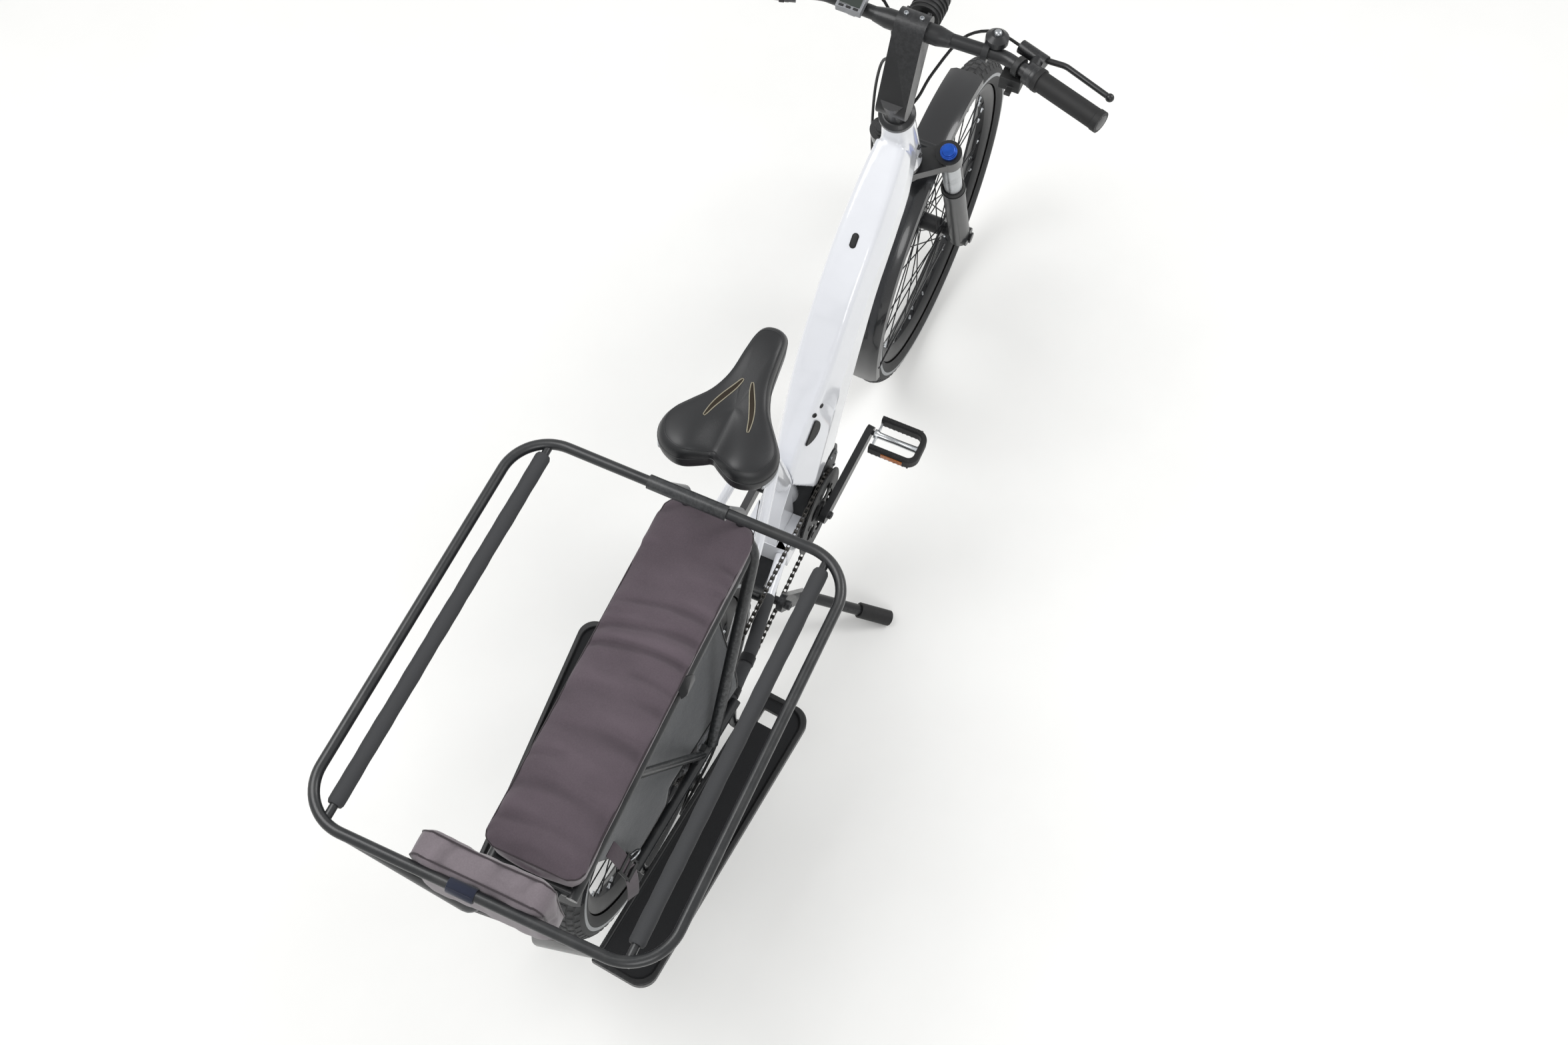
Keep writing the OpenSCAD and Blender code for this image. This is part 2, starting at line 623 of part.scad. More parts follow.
// Levels from the underside to the crown: scale of the outline, depth below the crown
saddle_levels = [[0.72, 56], [0.93, 54], [0.985, 42], [1, 30], [0.985, 17], [0.93, 7], [0.8, 1.5], [0.5, 0]];
function saddle_crown(x) = x < 60 ? -0.06 * x : -3.6 - 16 * sin(min(x - 60, 130) / 130 * 90);
function saddle_ring(level) = let (half = curve(saddle_half, 2), n = len(half), all = [
        for (i = [0 : n - 1]) half[i], for (i = [n - 1 : -1 : 0]) [half[i].x, -half[i].y]])
    [for (p = all) [saddle_nose.x - saddle_mid - (p.x - saddle_mid) * level[0], -p.y * level[0],
        saddle_nose.y + saddle_crown(p.x) - level[1]]];
rail_wire = 7;
module saddle() {
    color("#1b1b1c") placed() {
        loft([for (level = saddle_levels) saddle_ring(level)]);
    }
}
module saddle_rails() {
    color("#8b8c8e") placed() both_sides() swept_tube([[saddle_nose.x - 48, 14, saddle_nose.y - 58],
        [post_head.x + 34, 22, post_head.z + 7], [post_head.x - 34, 22, post_head.z + 7],
        [saddle_nose.x - 200, 30, saddle_nose.y - 72]], 20, rail_wire);
}
module seat_post() {
    color("#26272a") placed() {
        along([0, 0, bb_z], post_head) translate([0, 0, seat_tube_l - 150])
            cylinder(d = post_d, h = post_l - seat_tube_l + 138);
        translate([post_head.x - 22, -26, post_head.z - 16])
            cube([44, 52, 16 + 7 - rail_wire / 2 - seat_gap]);
    }
}

// Carrier: the deck slopes up to the front
deck_tilt = 2.5;
rail_y = 66;
deck_front = 238;
deck_back = -372;
cross_bars = [130, -20, -170];
function deck_at(x, y, up) = [rear_axle_x + x * cos(deck_tilt) - up * sin(deck_tilt), y,
    deck_z + x * sin(deck_tilt) + up * cos(deck_tilt)];
module deck_frame() { translate([rear_axle_x, 0, deck_z]) rotate([0, -deck_tilt, 0]) children(); }
deck_end = deck_at(deck_back + rack_d / 2, 0, 0);
hoop_low = [rear_axle_x + 26, 92, wheel_r + 72];
hoop_top = deck_at(deck_front, 74, 20);
board_in_y = 114;
board_t = 14;
board_front_x = -388;
// The footboards toe in towards the rear
board_toe = 5;
function board_edge(x) = board_in_y + (x - board_front_x) * tan(board_toe);
carrier_d = 16;
carrier_in = 14;
carrier_bend = 12;
hoop_d = rack_d + 2;
brace_d = rack_d - 4;
carrier_z = board_z - board_t - carrier_d / 2 - seat_gap;
carriers = [board_front_x - 70, board_front_x - board_l + 175];
low_rail_gap = 14;
function low_rail_end(x, up) = [x, board_edge(x) - low_rail_gap, wheel_r + up];
low_rail = [low_rail_end(board_front_x - 56, 72), low_rail_end(board_front_x - board_l + 160, 44)];
function low_rail_at(x) = let (run = low_rail[1] - low_rail[0])
    low_rail[0] + run * (x - low_rail[0].x) / run.x;
module rack() {
    color("#1e1f20") placed() {
        both_sides() {
            rod(deck_at(deck_front - 6, rail_y, 0), deck_at(deck_back, rail_y, 0), rack_d);
            rod(deck_at(-170, rail_y, 0), low_rail_at(rear_axle_x + 6), brace_d);
            rod(low_rail[0], low_rail[1], rack_d);
            for (x = carriers) swept_tube([low_rail_at(x), [x, low_rail_at(x).y, carrier_z],
                [x, board_edge(x) + board_w - carrier_in, carrier_z]], carrier_bend, carrier_d);
            translate([rear_axle_x - 18, rear_drop_y + drop_t + seat_gap, wheel_r + 20]) cube([36, 8, 58]);
        }
        for (x = concat(cross_bars, [deck_back + rack_d / 2]))
            rod(deck_at(x, -rail_y, 0), deck_at(x, rail_y, 0), carrier_d);
        swept_tube([mirrored(hoop_low), mirrored(hoop_top), hoop_top, hoop_low], 40, hoop_d);
    }
}

// Passenger rail: a closed loop with foam-covered inner bars
rail_rear_x = -rail_rear;
rail_front_x = -rail_front;
rail_corners = [[rail_front_x, rail_half_w, rail_z], [rail_rear_x, rail_half_w, rail_z],
    [rail_rear_x, -rail_half_w, rail_z], [rail_front_x, -rail_half_w, rail_z]];
inner_bar_y = 218.5;
inner_bar_d = 12;
inner_bar_z = rail_z - 3;
function inner_bar(back) = [rail_front_x - back, inner_bar_y, inner_bar_z];
sleeve_d = 22;
strut_low = deck_end + [-carrier_d / 2 - 3 * seat_gap, 40, 0];
upright_foot = hoop_top + [-2, -28, hoop_d / 2 + 2 * seat_gap];
module safety_rail() {
    mid_front = [rail_front_x, 0, rail_z];
    color("#232425") placed() {
        bent_tube([mid_front, rail_corners[0], rail_corners[1], rail_corners[2], rail_corners[3], mid_front],
            rail_bend, rail_d);
        rod(mid_front - [0, 62, 0], mid_front + [0, 62, 0], sleeve_d);
        both_sides() {
            rod(inner_bar(0), inner_bar(rail_l), inner_bar_d);
            swept_tube([strut_low, [rail_rear_x + 28, 48, strut_low.z + 16],
                [rail_rear_x, 178, rail_z]], 30, rail_d);
            swept_tube([upright_foot, upright_foot + [2, 0, 60], [rail_front_x, 46, rail_z]], 30, rail_d);
        }
        translate([rail_front_x + 6, -40, rail_z - 34]) cube([5, 80, 30]);
    }
}
foam_bore = inner_bar_d + 2 * pin_gap;
module rail_pads() {
    color("#2c2c2d") placed() both_sides() difference() {
        rod(inner_bar(25), inner_bar(rail_l - 30), foam_d);
        rod(inner_bar(0), inner_bar(rail_l), foam_bore);
    }
}
module rounded(l, w, r) {
    for (x = [r, l - r], y = [r - w / 2, w / 2 - r]) translate([x, y]) circle(r = r);
    translate([r, -w / 2]) square([l - 2 * r, w]);
    translate([0, r - w / 2]) square([l, w - 2 * r]);
}
cushion_front = 206;
module cushion() {
    color("#60545c") placed() deck_frame()
        translate([cushion_front - cushion_l, 0, rack_d / 2 + seat_gap])
            linear_extrude(cushion_t) rounded(cushion_l, cushion_w, 26);
}
backrest_w = 206;
backrest_h = 136;
backrest_t = 36;
module backrest() {
    color("#60545c") placed()
        translate([rail_rear_x + rail_d / 2 + seat_gap + backrest_t, 0, rail_z + 4 - backrest_h])
            rotate([0, -90, 0]) linear_extrude(backrest_t) rounded(backrest_h, backrest_w, 20);
}

// Footboards: a rimmed plate with a cut-out near its front
module board_outline(inset) {
    r = 30;
    difference() {
        translate([-board_l + inset, inset]) square([board_l - 2 * inset, board_w - 2 * inset]);
        for (x = [[0, -1], [-board_l, 1]]) translate([x[0] + x[1] * (r + inset), board_w - r - inset])
            difference() {
                translate([x[1] < 0 ? 0 : -r - 1, 0]) square([r + 1, r + 1]);
                circle(r = r);
            }
    }
}
module footboard_shape() {
    rim = 9;
    rim_h = 5;
    slot = [28, 42];
    translate([board_front_x, board_in_y, board_z - board_t]) rotate(board_toe) difference() {
        linear_extrude(board_t + rim_h) board_outline(0);
        translate([0, 0, board_t]) linear_extrude(rim_h + 1) board_outline(rim);
        translate([-2 * slot.x, board_w / 4, -1]) cube([slot.x, slot.y, board_t + rim_h]);
    }
}
module footboard_left() { color("#161719") placed() footboard_shape(); }
module footboard_right() { color("#161719") placed() mirror([0, 1, 0]) footboard_shape(); }

// Spoke guards hang inside the carrier's tubes
guard_y = 42;
guard_sheet_t = 2;
guard_points = [[160, 340], [-312, 318], [-179, 45], [-96, 45], [-80, 92], [78, 92], [94, 66], [136, 66]];
module spoke_guard() {
    translate([rear_axle_x, guard_y + guard_sheet_t, wheel_r]) rotate([90, 0, 0])
        linear_extrude(guard_sheet_t) polygon(guard_points);
    for (x = cross_bars) let (bar = deck_at(x, 0, 0), low = wheel_r + 300)
        translate([bar.x - 9, guard_y, low])
            cube([18, guard_sheet_t, bar.z - carrier_d / 2 - seat_gap - low]);
}
module spoke_guard_left() { color("#4a4d50") placed() spoke_guard(); }
module spoke_guard_right() { color("#4a4d50") placed() mirror([0, 1, 0]) spoke_guard(); }

// Mudguards, lamp, brake and gear parts of the frame
mud_gap = 12;
mud_t = 2.5;
mud_half_w = 35;
function mud_profile() = let (r = wheel_r + mud_gap, w = mud_half_w) [
    [r - 14, w], [r - 4, w - 2.5], [r + 1.5, w - 13], [r + mud_t, 0], [r + 1.5, 13 - w], [r - 4, 2.5 - w],
    [r - 14, -w], [r - 14, mud_t - w], [r - 5, 5 - w], [r - 1, 14 - w], [r, 0], [r - 1, w - 14],
    [r - 5, w - 5], [r - 14, w - mud_t]
];
module mudguard(start, sweep) { rotate([0, 0, start]) rotate_extrude(angle = sweep) polygon(mud_profile()); }
module rear_mudguard() {
    bar = deck_at(cross_bars[1], 0, 0);
    low = wheel_r + sqrt(pow(wheel_r + mud_gap, 2) - pow(bar.x - rear_axle_x, 2));
    color("#1b1b1c") placed() {
        at_wheel(rear_axle_x) mudguard(-158, 140);
        translate([bar.x - 10, -11, low]) cube([20, 22, bar.z - carrier_d / 2 - seat_gap - low]);
    }
}
lamp_at = deck_end + [-carrier_d / 2 - seat_gap, 0, -12];
module rear_lamp() {
    color("#7a1014") placed() translate(lamp_at) rotate([0, -90, 0]) {
        linear_extrude(30) translate([-18, 0]) rounded(36, 58, 12);
        linear_extrude(36) translate([-12, 0]) rounded(24, 46, 9);
    }
}
pad_gap = 1.6;
module caliper(disc_y, block, low) {
    slot = disc_t + 2 * pad_gap;
    difference() {
        translate([low.x, disc_y - 7, low.y]) cube([block.x, 18, block.y]);
        translate([0, disc_y - slot / 2, 0]) rotate([-90, 0, 0]) cylinder(r = disc_r + 3, h = slot);
    }
}
module rear_caliper() {
    color("#202123") placed() translate([rear_axle_x, 0, wheel_r]) {
        caliper(rear_disc_y, [46, 30], [48, 14]);
        translate([60, rear_disc_y + 1 + pad_gap, stay_d / 2 - 0.8])
            cube([20, 68 - rear_disc_y - pad_gap - 1, 6]);
    }
}
cage_gap = 5;
cage_t = 1.6;
module rear_derailleur() {
    d = tension_at - guide_at;
    hanger = [rear_axle_x - 8, wheel_r - 30];
    color("#2a2b2c") placed() {
        for (y = [chain_y - cage_gap - cage_t, chain_y + cage_gap])
            translate([guide_at.x, -y, guide_at.y]) rotate([90, 0, 0])
                rotate(atan2(d.y, d.x)) linear_extrude(cage_t) link_2d(norm(d), 15, 13);
        for (c = [guide_at, tension_at]) translate([c.x, -chain_y, c.y]) rotate([90, 0, 0]) {
            translate([0, 0, -ring_t / 2]) toothed(guide_r, ring_t);
            translate([0, 0, -cage_gap - cage_t]) cylinder(d = 10, h = 2 * (cage_gap + cage_t));
        }
        rod([guide_at.x, -chain_y - cage_gap, guide_at.y], [guide_at.x, -chain_y - 26, guide_at.y], 24);
        rod([guide_at.x, -chain_y - 20, guide_at.y], [hanger.x, -rear_drop_y - 6, hanger.y], 18);
        rod([hanger.x, -rear_drop_y, hanger.y], [hanger.x, -rear_drop_y - 14, hanger.y], 20);
    }
}
gear_cable_d = 5;
// Route of the gear cable from the rear axle
gear_route = [[78, -84, 7], [26, -90, 15], [-29, -89, 11], [-74, -82, -18], [-62, -75, -56],
    [-18.5, -66, -78]];
module gear_cable() {
    color("#111111") placed() translate([rear_axle_x, 0, wheel_r]) cable(gear_route, gear_cable_d);
}
// A half-round cover on the right flank of the down tube, set from the tube's own sections
cover_r = 26;
cover_t = 3;
cover_rise = seat_gap + 0.6;
module port_covers() {
    top_edge = 10;
    flank = 9;
    a = tube_ring(tube_rows[5]);
    b = tube_ring(tube_rows[6]);
    p = (a[top_edge] + b[top_edge]) / 2;
    u = unit(a[top_edge] - b[top_edge]);
    w = (a[flank] + b[flank]) / 2 - p;
    v = unit(w - u * (w * u));
    n = cross(v, u);
    o = p + n * cover_rise + v * 3;
    color("#141414") placed()
        multmatrix([[v.x, u.x, n.x, o.x], [v.y, u.y, n.y, o.y], [v.z, u.z, n.z, o.z]])
            linear_extrude(cover_t) intersection() {
                circle(r = cover_r);
                translate([0, -cover_r]) square([cover_r, 2 * cover_r]);
            }
}

// Centre stand: a housing on the frame, flat links with round legs and rubber feet
stand_pin_d = 16;
stand_link_in = 60;
stand_link_t = 12;
stand_knee = [105, -167];
stand_foot = [171, -260];
housing_half_w = 48;
stand_mid_y = stand_link_in + stand_link_t / 2;
knee_at = [stand_knee.x - stand_back, stand_mid_y, stand_z + stand_knee.y];
foot_at = [stand_foot.x - stand_back, stand_half_w, 12];
module stand_bracket() {
    color("#202122") placed() {
        translate([-stand_back, -housing_half_w, stand_z]) rotate([-90, 0, 0])
            cylinder(d = 30, h = 2 * housing_half_w);
        translate([-stand_back - 12, -24, stand_z])
            cube([stand_back + 12 + yoke[0] + 40, 48, 13 - seat_gap]);
        translate([-stand_back, -stand_link_in - stand_link_t - 4, stand_z]) rotate([-90, 0, 0])
            cylinder(d = stand_pin_d, h = 2 * (stand_link_in + stand_link_t + 4));
    }
}
module stand_legs() {
    color("#1f2021") placed() both_sides() difference() {
        union() {
            translate([-stand_back, stand_link_in + stand_link_t, stand_z]) rotate([90, 0, 0])
                rotate(atan2(stand_knee.y, stand_knee.x)) linear_extrude(stand_link_t)
                    link_2d(norm(stand_knee), 17, 12);
            rod(knee_at, foot_at - unit(foot_at - knee_at) * 4, stand_leg_d);
            translate(knee_at) sphere(d = stand_leg_d + 2);
        }
        translate([-stand_back, stand_link_in - 1, stand_z]) rotate([-90, 0, 0])
            cylinder(d = stand_pin_d + 2 * pin_gap, h = stand_link_t + 2);
        translate([-400, 0, -60]) cube([800, 400, 60 + 2]);
    }
}
foot_l = 62;
module stand_feet() {
    u = unit(foot_at - knee_at);
    color("#111111") placed() both_sides() difference() {
        rod(foot_at - u * foot_l, foot_at + u * 8, stand_leg_d + 9);
        rod(foot_at - u * (foot_l + 1), foot_at - u * (4 - seat_gap), stand_leg_d + 2 * seat_gap);
        translate([-400, 0, -100]) cube([800, 400, 100]);
    }
}

// Fork: crown with upper tubes, lower legs with their arch, axle and top knobs
steerer_d = 28.6;
crown_h = 38;
crown_top = fork_l - 2;
lower_top = fork_l - 190;
upper_in = 60;
arch_d = 18;
arch_x = fork_offset + stanchion_d / 2 + arch_d / 2 + 2;
arch_z = wheel_r + mud_gap + mud_t + 14 + arch_d / 2;
module at_legs() { both_sides() translate([fork_offset, leg_y, 0]) children(); }
module fork_crown() {
    color("#1a1a1b") placed() steer_frame() {
        translate([0, 0, crown_top]) cylinder(d = head_tube_d - 4, h = head_low - crown_top - seat_gap);
        translate([0, 0, crown_top - crown_h]) cylinder(d = 50, h = crown_h);
        translate([0, 0, crown_top]) cylinder(d = steerer_d, h = cover_top + 50 - crown_top);
        translate([0, 0, crown_top - crown_h + 6]) linear_extrude(crown_h - 10) polygon([
            [-20, 15], [fork_offset - 16, leg_y + 14], [fork_offset + 17, leg_y - 8], [24, 0],
            [fork_offset + 17, 8 - leg_y], [fork_offset - 16, -leg_y - 14], [-20, -15]]);
        at_legs() translate([0, 0, crown_top - crown_h]) cylinder(d = stanchion_d + 12, h = crown_h);
        at_legs() translate([0, 0, lower_top - upper_in])
            cylinder(d = stanchion_d, h = crown_top - lower_top + upper_in);
    }
}
leg_flat_z = 112;
leg_flat_y = 46;
module fork_lowers() {
    arch = [[arch_x - 3, leg_y, lower_top - 40], [arch_x, leg_y - 3, arch_z], [arch_x, 3 - leg_y, arch_z],
        [arch_x - 3, -leg_y, lower_top - 40]];
    color("#45474a") placed() steer_frame() difference() {
        union() {
            at_legs() translate([0, 0, -18]) cylinder(d = lower_d, h = lower_top + 18);
            at_legs() translate([0, 0, lower_top - 14]) cylinder(d = lower_d + 4, h = 14);
            at_legs() translate([0, front_drop_y - leg_y, 0]) rotate([-90, 0, 0])
                cylinder(d = lower_d - 4, h = leg_y + lower_d / 2 - front_drop_y);
            swept_tube(arch, 28, arch_d);
        }
        at_legs() translate([0, 0, lower_top - upper_in - 4])
            cylinder(d = stanchion_d + 2 * pin_gap, h = 200);
        translate([fork_offset - 60, -leg_flat_y, -60]) cube([120, 2 * leg_flat_y, 60 + leg_flat_z]);
        translate([fork_offset - 24, -front_drop_y, -60]) cube([48, 2 * front_drop_y, 84]);
        translate([fork_offset, -200, 0]) rotate([-90, 0, 0])
            cylinder(d = front_thru_d + 2 * pin_gap, h = 400);
    }
}
axle_end = leg_y + lower_d / 2 + 2;
module front_axle() {
    color("#303132") placed() at_wheel(front_axle_x) {
        translate([0, 0, -axle_end]) cylinder(d = front_thru_d, h = 2 * axle_end);
        translate([0, 0, -axle_end - 4]) cylinder(d = 22, h = 4);
    }
}
module fork_knobs() {
    color("#2456b0") placed() steer_frame() at_legs() translate([0, 0, crown_top + seat_gap]) {
        cylinder(d = 30, h = 7);
        cylinder(d = 22, h = 15);
    }
}
module headset_cover() {
    color("#161617") placed() steer_frame() translate([0, 0, head_high + seat_gap]) difference() {
        union() {
            cylinder(d = 61, h = 11);
            translate([0, 0, 11]) cylinder(d1 = 61, d2 = 46, h = cover_top - head_high - 11 - 2 * seat_gap);
        }
        translate([0, 0, -1]) cylinder(d = steerer_d + 2 * pin_gap, h = 40);
    }
}
stem_w = 50;
bar_clamp_d = 31.8;
stem_col = 58;
module stem() {
    rise = bar_rise - stem_col + 22;
    color("#242527") placed() steer_frame() difference() {
        union() {
            translate([0, 0, cover_top]) cylinder(d = 42, h = stem_col);
            translate([0, stem_w / 2, cover_top + stem_col - 22]) rotate([90, 0, 0])
                linear_extrude(stem_w) rotate(atan2(rise, bar_reach))
                    link_2d(norm([rise, bar_reach]), 21, stem_eye_r);
        }
        translate([0, 0, cover_top - 1]) cylinder(d = steerer_d + 2 * pin_gap, h = 51.5);
        translate([bar_reach, -stem_w, bar_along]) rotate([-90, 0, 0])
            cylinder(d = bar_clamp_d + 2 * pin_gap, h = 2 * stem_w);
    }
}

// Handlebar and what is clamped to it
bar_d = 22.2;
bar_bend = [4, bar_half_w - 175];
bar_sweep = 52;
bar_swell = 64;
bar_mid = [bar_x, 0, bar_z];
bar_bend_l = bar_mid + [bar_bend.x, bar_bend.y, 0];
bar_end_l = bar_mid + [-bar_sweep, bar_half_w - 5, 0];
bar_out = unit(bar_end_l - bar_bend_l);
grip_l = 122;
module handlebar() {
    color("#17181a") placed() {
        swept_tube([mirrored(bar_end_l), mirrored(bar_bend_l), bar_mid + [0, -46, 0], bar_mid + [0, 46, 0],
            bar_bend_l, bar_end_l], 60, bar_d);
        translate(bar_mid) rotate([-90, 0, 0]) rotate_extrude() polygon([
            [0, -bar_swell], [bar_d / 2 + 0.4, -bar_swell], [bar_clamp_d / 2, 22 - bar_swell],
            [bar_clamp_d / 2, bar_swell - 22], [bar_d / 2 + 0.4, bar_swell], [0, bar_swell]]);
    }
}
module grip_shape() {
    difference() {
        union() {
            rod(bar_end_l + bar_out * (4 - grip_l), bar_end_l + bar_out * 3, grip_d);
            rod(bar_end_l + bar_out * (4 - grip_l), bar_end_l + bar_out * (12 - grip_l), grip_d + 5);
            rod(bar_end_l - bar_out * 6, bar_end_l + bar_out * 4, grip_d + 2);
        }
        rod(bar_end_l - bar_out * (grip_l + 10), bar_end_l + bar_out * pin_gap, bar_d + 2 * pin_gap);
    }
}
module grip_left() { color("#141414") placed() grip_shape(); }
module grip_right() { color("#141414") placed() mirror([0, 1, 0]) grip_shape(); }
module bar_clamp(back, w, d) {
    at = bar_end_l - bar_out * back;
    difference() {
        rod(at, at + bar_out * w, d);
        rod(at - bar_out, at + bar_out * (w + 1), bar_d + 2 * pin_gap);
    }
}
lever_clear = 47;
lever_d = 9.5;
module lever_shape() {
    at = bar_end_l - bar_out * (grip_l + 8);
    ahead = [bar_out.y, -bar_out.x, 0];
    hinge = at + ahead * 34 - bar_out * 12;
    tip = bar_end_l + ahead * lever_clear - bar_out * 16;
    difference() {
        union() {
            rod(at - bar_out * 6, at + bar_out * 7, bar_d + 13);
            rod(at, hinge, 20);
            rod(hinge - bar_out * 34, hinge + bar_out * 14, 22);
        }
        rod(at - bar_out * 20, at + bar_out * 20, bar_d + 2 * pin_gap);
    }
    swept_tube([hinge, hinge + ahead * 16 + bar_out * 40, tip], 30, lever_d);
    translate(tip) sphere(d = lever_d + 4);
}
module brake_levers() { color("#1a1b1c") placed() both_sides() lever_shape(); }
module shifter() {
    at = bar_end_l - bar_out * (grip_l + 38);
    color("#1d1e1f") placed() mirror([0, 1, 0]) {
        bar_clamp(grip_l + 36, 10, 32);
        translate(at + [-20, -16, -38]) cube([44, 34, 24]);
        translate(at + [-34, -2, -34]) cube([18, 10, 6]);
    }
}
// A place on the bar's straight run beside the stem, as a share of that run
bar_run = bar_bend_l - bar_mid - [0, 46, 0];
function bar_at(share) = bar_mid + [0, 46, 0] + bar_run * share;
module run_clamp(share, w, d) {
    u = unit(bar_run);
    difference() {
        rod(bar_at(share) - u * w / 2, bar_at(share) + u * w / 2, d);
        rod(bar_at(share) - u * w, bar_at(share) + u * w, bar_d + 2 * pin_gap);
    }
}
bell_d = 36;
module bell() {
    color("#151516") placed() mirror([0, 1, 0]) {
        run_clamp(0.7, 10, 32);
        translate(bar_at(0.7) + [14, 10, bar_d / 2 + 1.5]) {
            cylinder(d = bell_d, h = 10);
            translate([0, 0, 10]) cylinder(d1 = bell_d, d2 = bell_d * 0.55, h = 7);
        }
    }
}
module display() {
    color("#77797b") placed() {
        run_clamp(0.5, 12, 32);
        translate(bar_at(0.5) + [-4, 0, bar_d / 2 + 6]) rotate([0, -12, 0]) translate([-26, -21, -3])
            cube([52, 42, 14]);
    }
}
stem_eye_r = 25;
headlight_drop = 26;
module headlight() {
    bracket_h = 20;
    seat_x = sqrt(pow(stem_eye_r, 2) - pow(headlight_drop - bracket_h / 2, 2)) + 4 * seat_gap;
    at = bar_mid + [0, 0, -headlight_drop];
    color("#18191a") placed() {
        rod(at + [48, 0, 0], at + [98, 0, 0], 50);
        for (k = [0 : 3]) rod(at + [54 + 9 * k, 0, 0], at + [58 + 9 * k, 0, 0], 55);
        translate(at + [seat_x, -9, -bracket_h / 2]) cube([56 - seat_x, 18, bracket_h]);
    }
}

// Front mudguard with its bracket to the arch and its stays
module front_mudguard() {
    tail = -186;
    tail_r = wheel_r + 2;
    color("#1b1b1c") placed() {
        at_wheel(front_axle_x) mudguard(-194, 120);
        steer_frame() translate([arch_x - 9, -10, wheel_r + mud_gap - 4])
            cube([18, 20, arch_z - arch_d / 2 - seat_gap - wheel_r - mud_gap + 4]);
        both_sides() rod([front_axle_x + tail_r * cos(tail), mud_half_w - 1, wheel_r - tail_r * sin(tail)],
            [foot_x - 34, leg_flat_y + 7, foot_z + 62], 4);
    }
}
module front_caliper() {
    color("#202123") placed() steer_frame() translate([fork_offset, 0, 0]) {
        caliper(front_disc_y, [42, 48], [-84, 44]);
        for (z = [50, 78]) translate([-50, front_disc_y + 6, z]) cube([50 - lower_d / 2 - seat_gap, 16, 9]);
    }
}
hose_d = 5;
// Routes from the front axle, of the hoses and leads between the bar and the headset cover, and one to
// the front brake
hose_routes = [
    [[-238, -163, 810], [-217, -112, 798], [-207, -62, 750], [-249, -34, 700], [-282, -27, 679],
        [-286, -18, 657]],
    [[-238, 163, 810], [-215, 112, 800], [-203, 66, 754], [-247, 36, 702], [-282, 27, 679], [-286, 18, 657]],
    [[-281, 5, 659], [-274, 9, 686], [-249, 36, 694], [-221, 60, 656], [-195, 76, 580], [-171, 86, 490],
        [-143, 93, 380], [-117, 94, 260], [-105, 86, 180], [-103, 62, 126], [-96, 39, 90], [-86.5, 36, 65]]
];
module hoses() {
    color("#111111") placed() translate([front_axle_x, 0, wheel_r])
        for (route = hose_routes) cable(route, hose_d, 3);
}

head_tube();
down_tube();
seat_tube();
rear_stays();
motor();
port_covers();
seat_post();
saddle();
saddle_rails();
rack();
safety_rail();
rail_pads();
cushion();
backrest();
footboard_left();
footboard_right();
spoke_guard_left();
spoke_guard_right();
rear_mudguard();
rear_lamp();
rear_caliper();
rear_derailleur();
chain();
gear_cable();
stand_bracket();
stand_legs();
stand_feet();
fork_crown();
fork_lowers();
front_axle();
fork_knobs();
headset_cover();
stem();
handlebar();
grip_left();
grip_right();
brake_levers();
shifter();
bell();
display();
headlight();
front_mudguard();
front_caliper();
hoses();
front_tyre();
front_rim();
front_spokes();
front_hub();
front_disc();
rear_tyre();
rear_rim();
rear_spokes();
rear_hub();
rear_disc();
cassette();
cranks();
chainring();
pedal_right();
pedal_left();
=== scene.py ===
"""Looks, soft goods and camera for a long-tail electric cargo bike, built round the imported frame."""

from __future__ import annotations

import json
import logging
import math
from dataclasses import dataclass
from enum import Enum
from typing import Callable, Iterable, Sequence, Union

import bmesh
import bpy
from mathutils import Matrix, Vector
from mathutils.bvhtree import BVHTree

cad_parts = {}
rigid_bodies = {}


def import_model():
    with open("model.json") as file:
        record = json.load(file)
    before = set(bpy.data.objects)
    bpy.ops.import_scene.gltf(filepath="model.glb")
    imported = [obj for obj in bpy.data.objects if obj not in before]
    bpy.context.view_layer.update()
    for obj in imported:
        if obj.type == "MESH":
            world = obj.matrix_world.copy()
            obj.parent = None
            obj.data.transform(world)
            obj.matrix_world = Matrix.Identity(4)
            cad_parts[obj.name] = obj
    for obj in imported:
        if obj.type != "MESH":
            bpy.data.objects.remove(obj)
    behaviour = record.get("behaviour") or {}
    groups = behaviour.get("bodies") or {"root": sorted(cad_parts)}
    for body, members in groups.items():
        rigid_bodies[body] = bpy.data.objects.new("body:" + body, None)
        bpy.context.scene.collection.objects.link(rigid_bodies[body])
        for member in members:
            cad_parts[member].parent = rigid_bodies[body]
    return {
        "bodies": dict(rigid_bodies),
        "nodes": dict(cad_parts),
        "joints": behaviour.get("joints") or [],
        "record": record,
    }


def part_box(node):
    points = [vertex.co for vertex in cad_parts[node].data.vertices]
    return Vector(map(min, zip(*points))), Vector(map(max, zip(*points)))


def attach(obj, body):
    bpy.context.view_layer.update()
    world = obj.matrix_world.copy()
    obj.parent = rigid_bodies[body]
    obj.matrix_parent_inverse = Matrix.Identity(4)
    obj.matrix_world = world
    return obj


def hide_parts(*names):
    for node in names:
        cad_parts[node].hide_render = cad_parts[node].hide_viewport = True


log = logging.getLogger("cargo_bike")

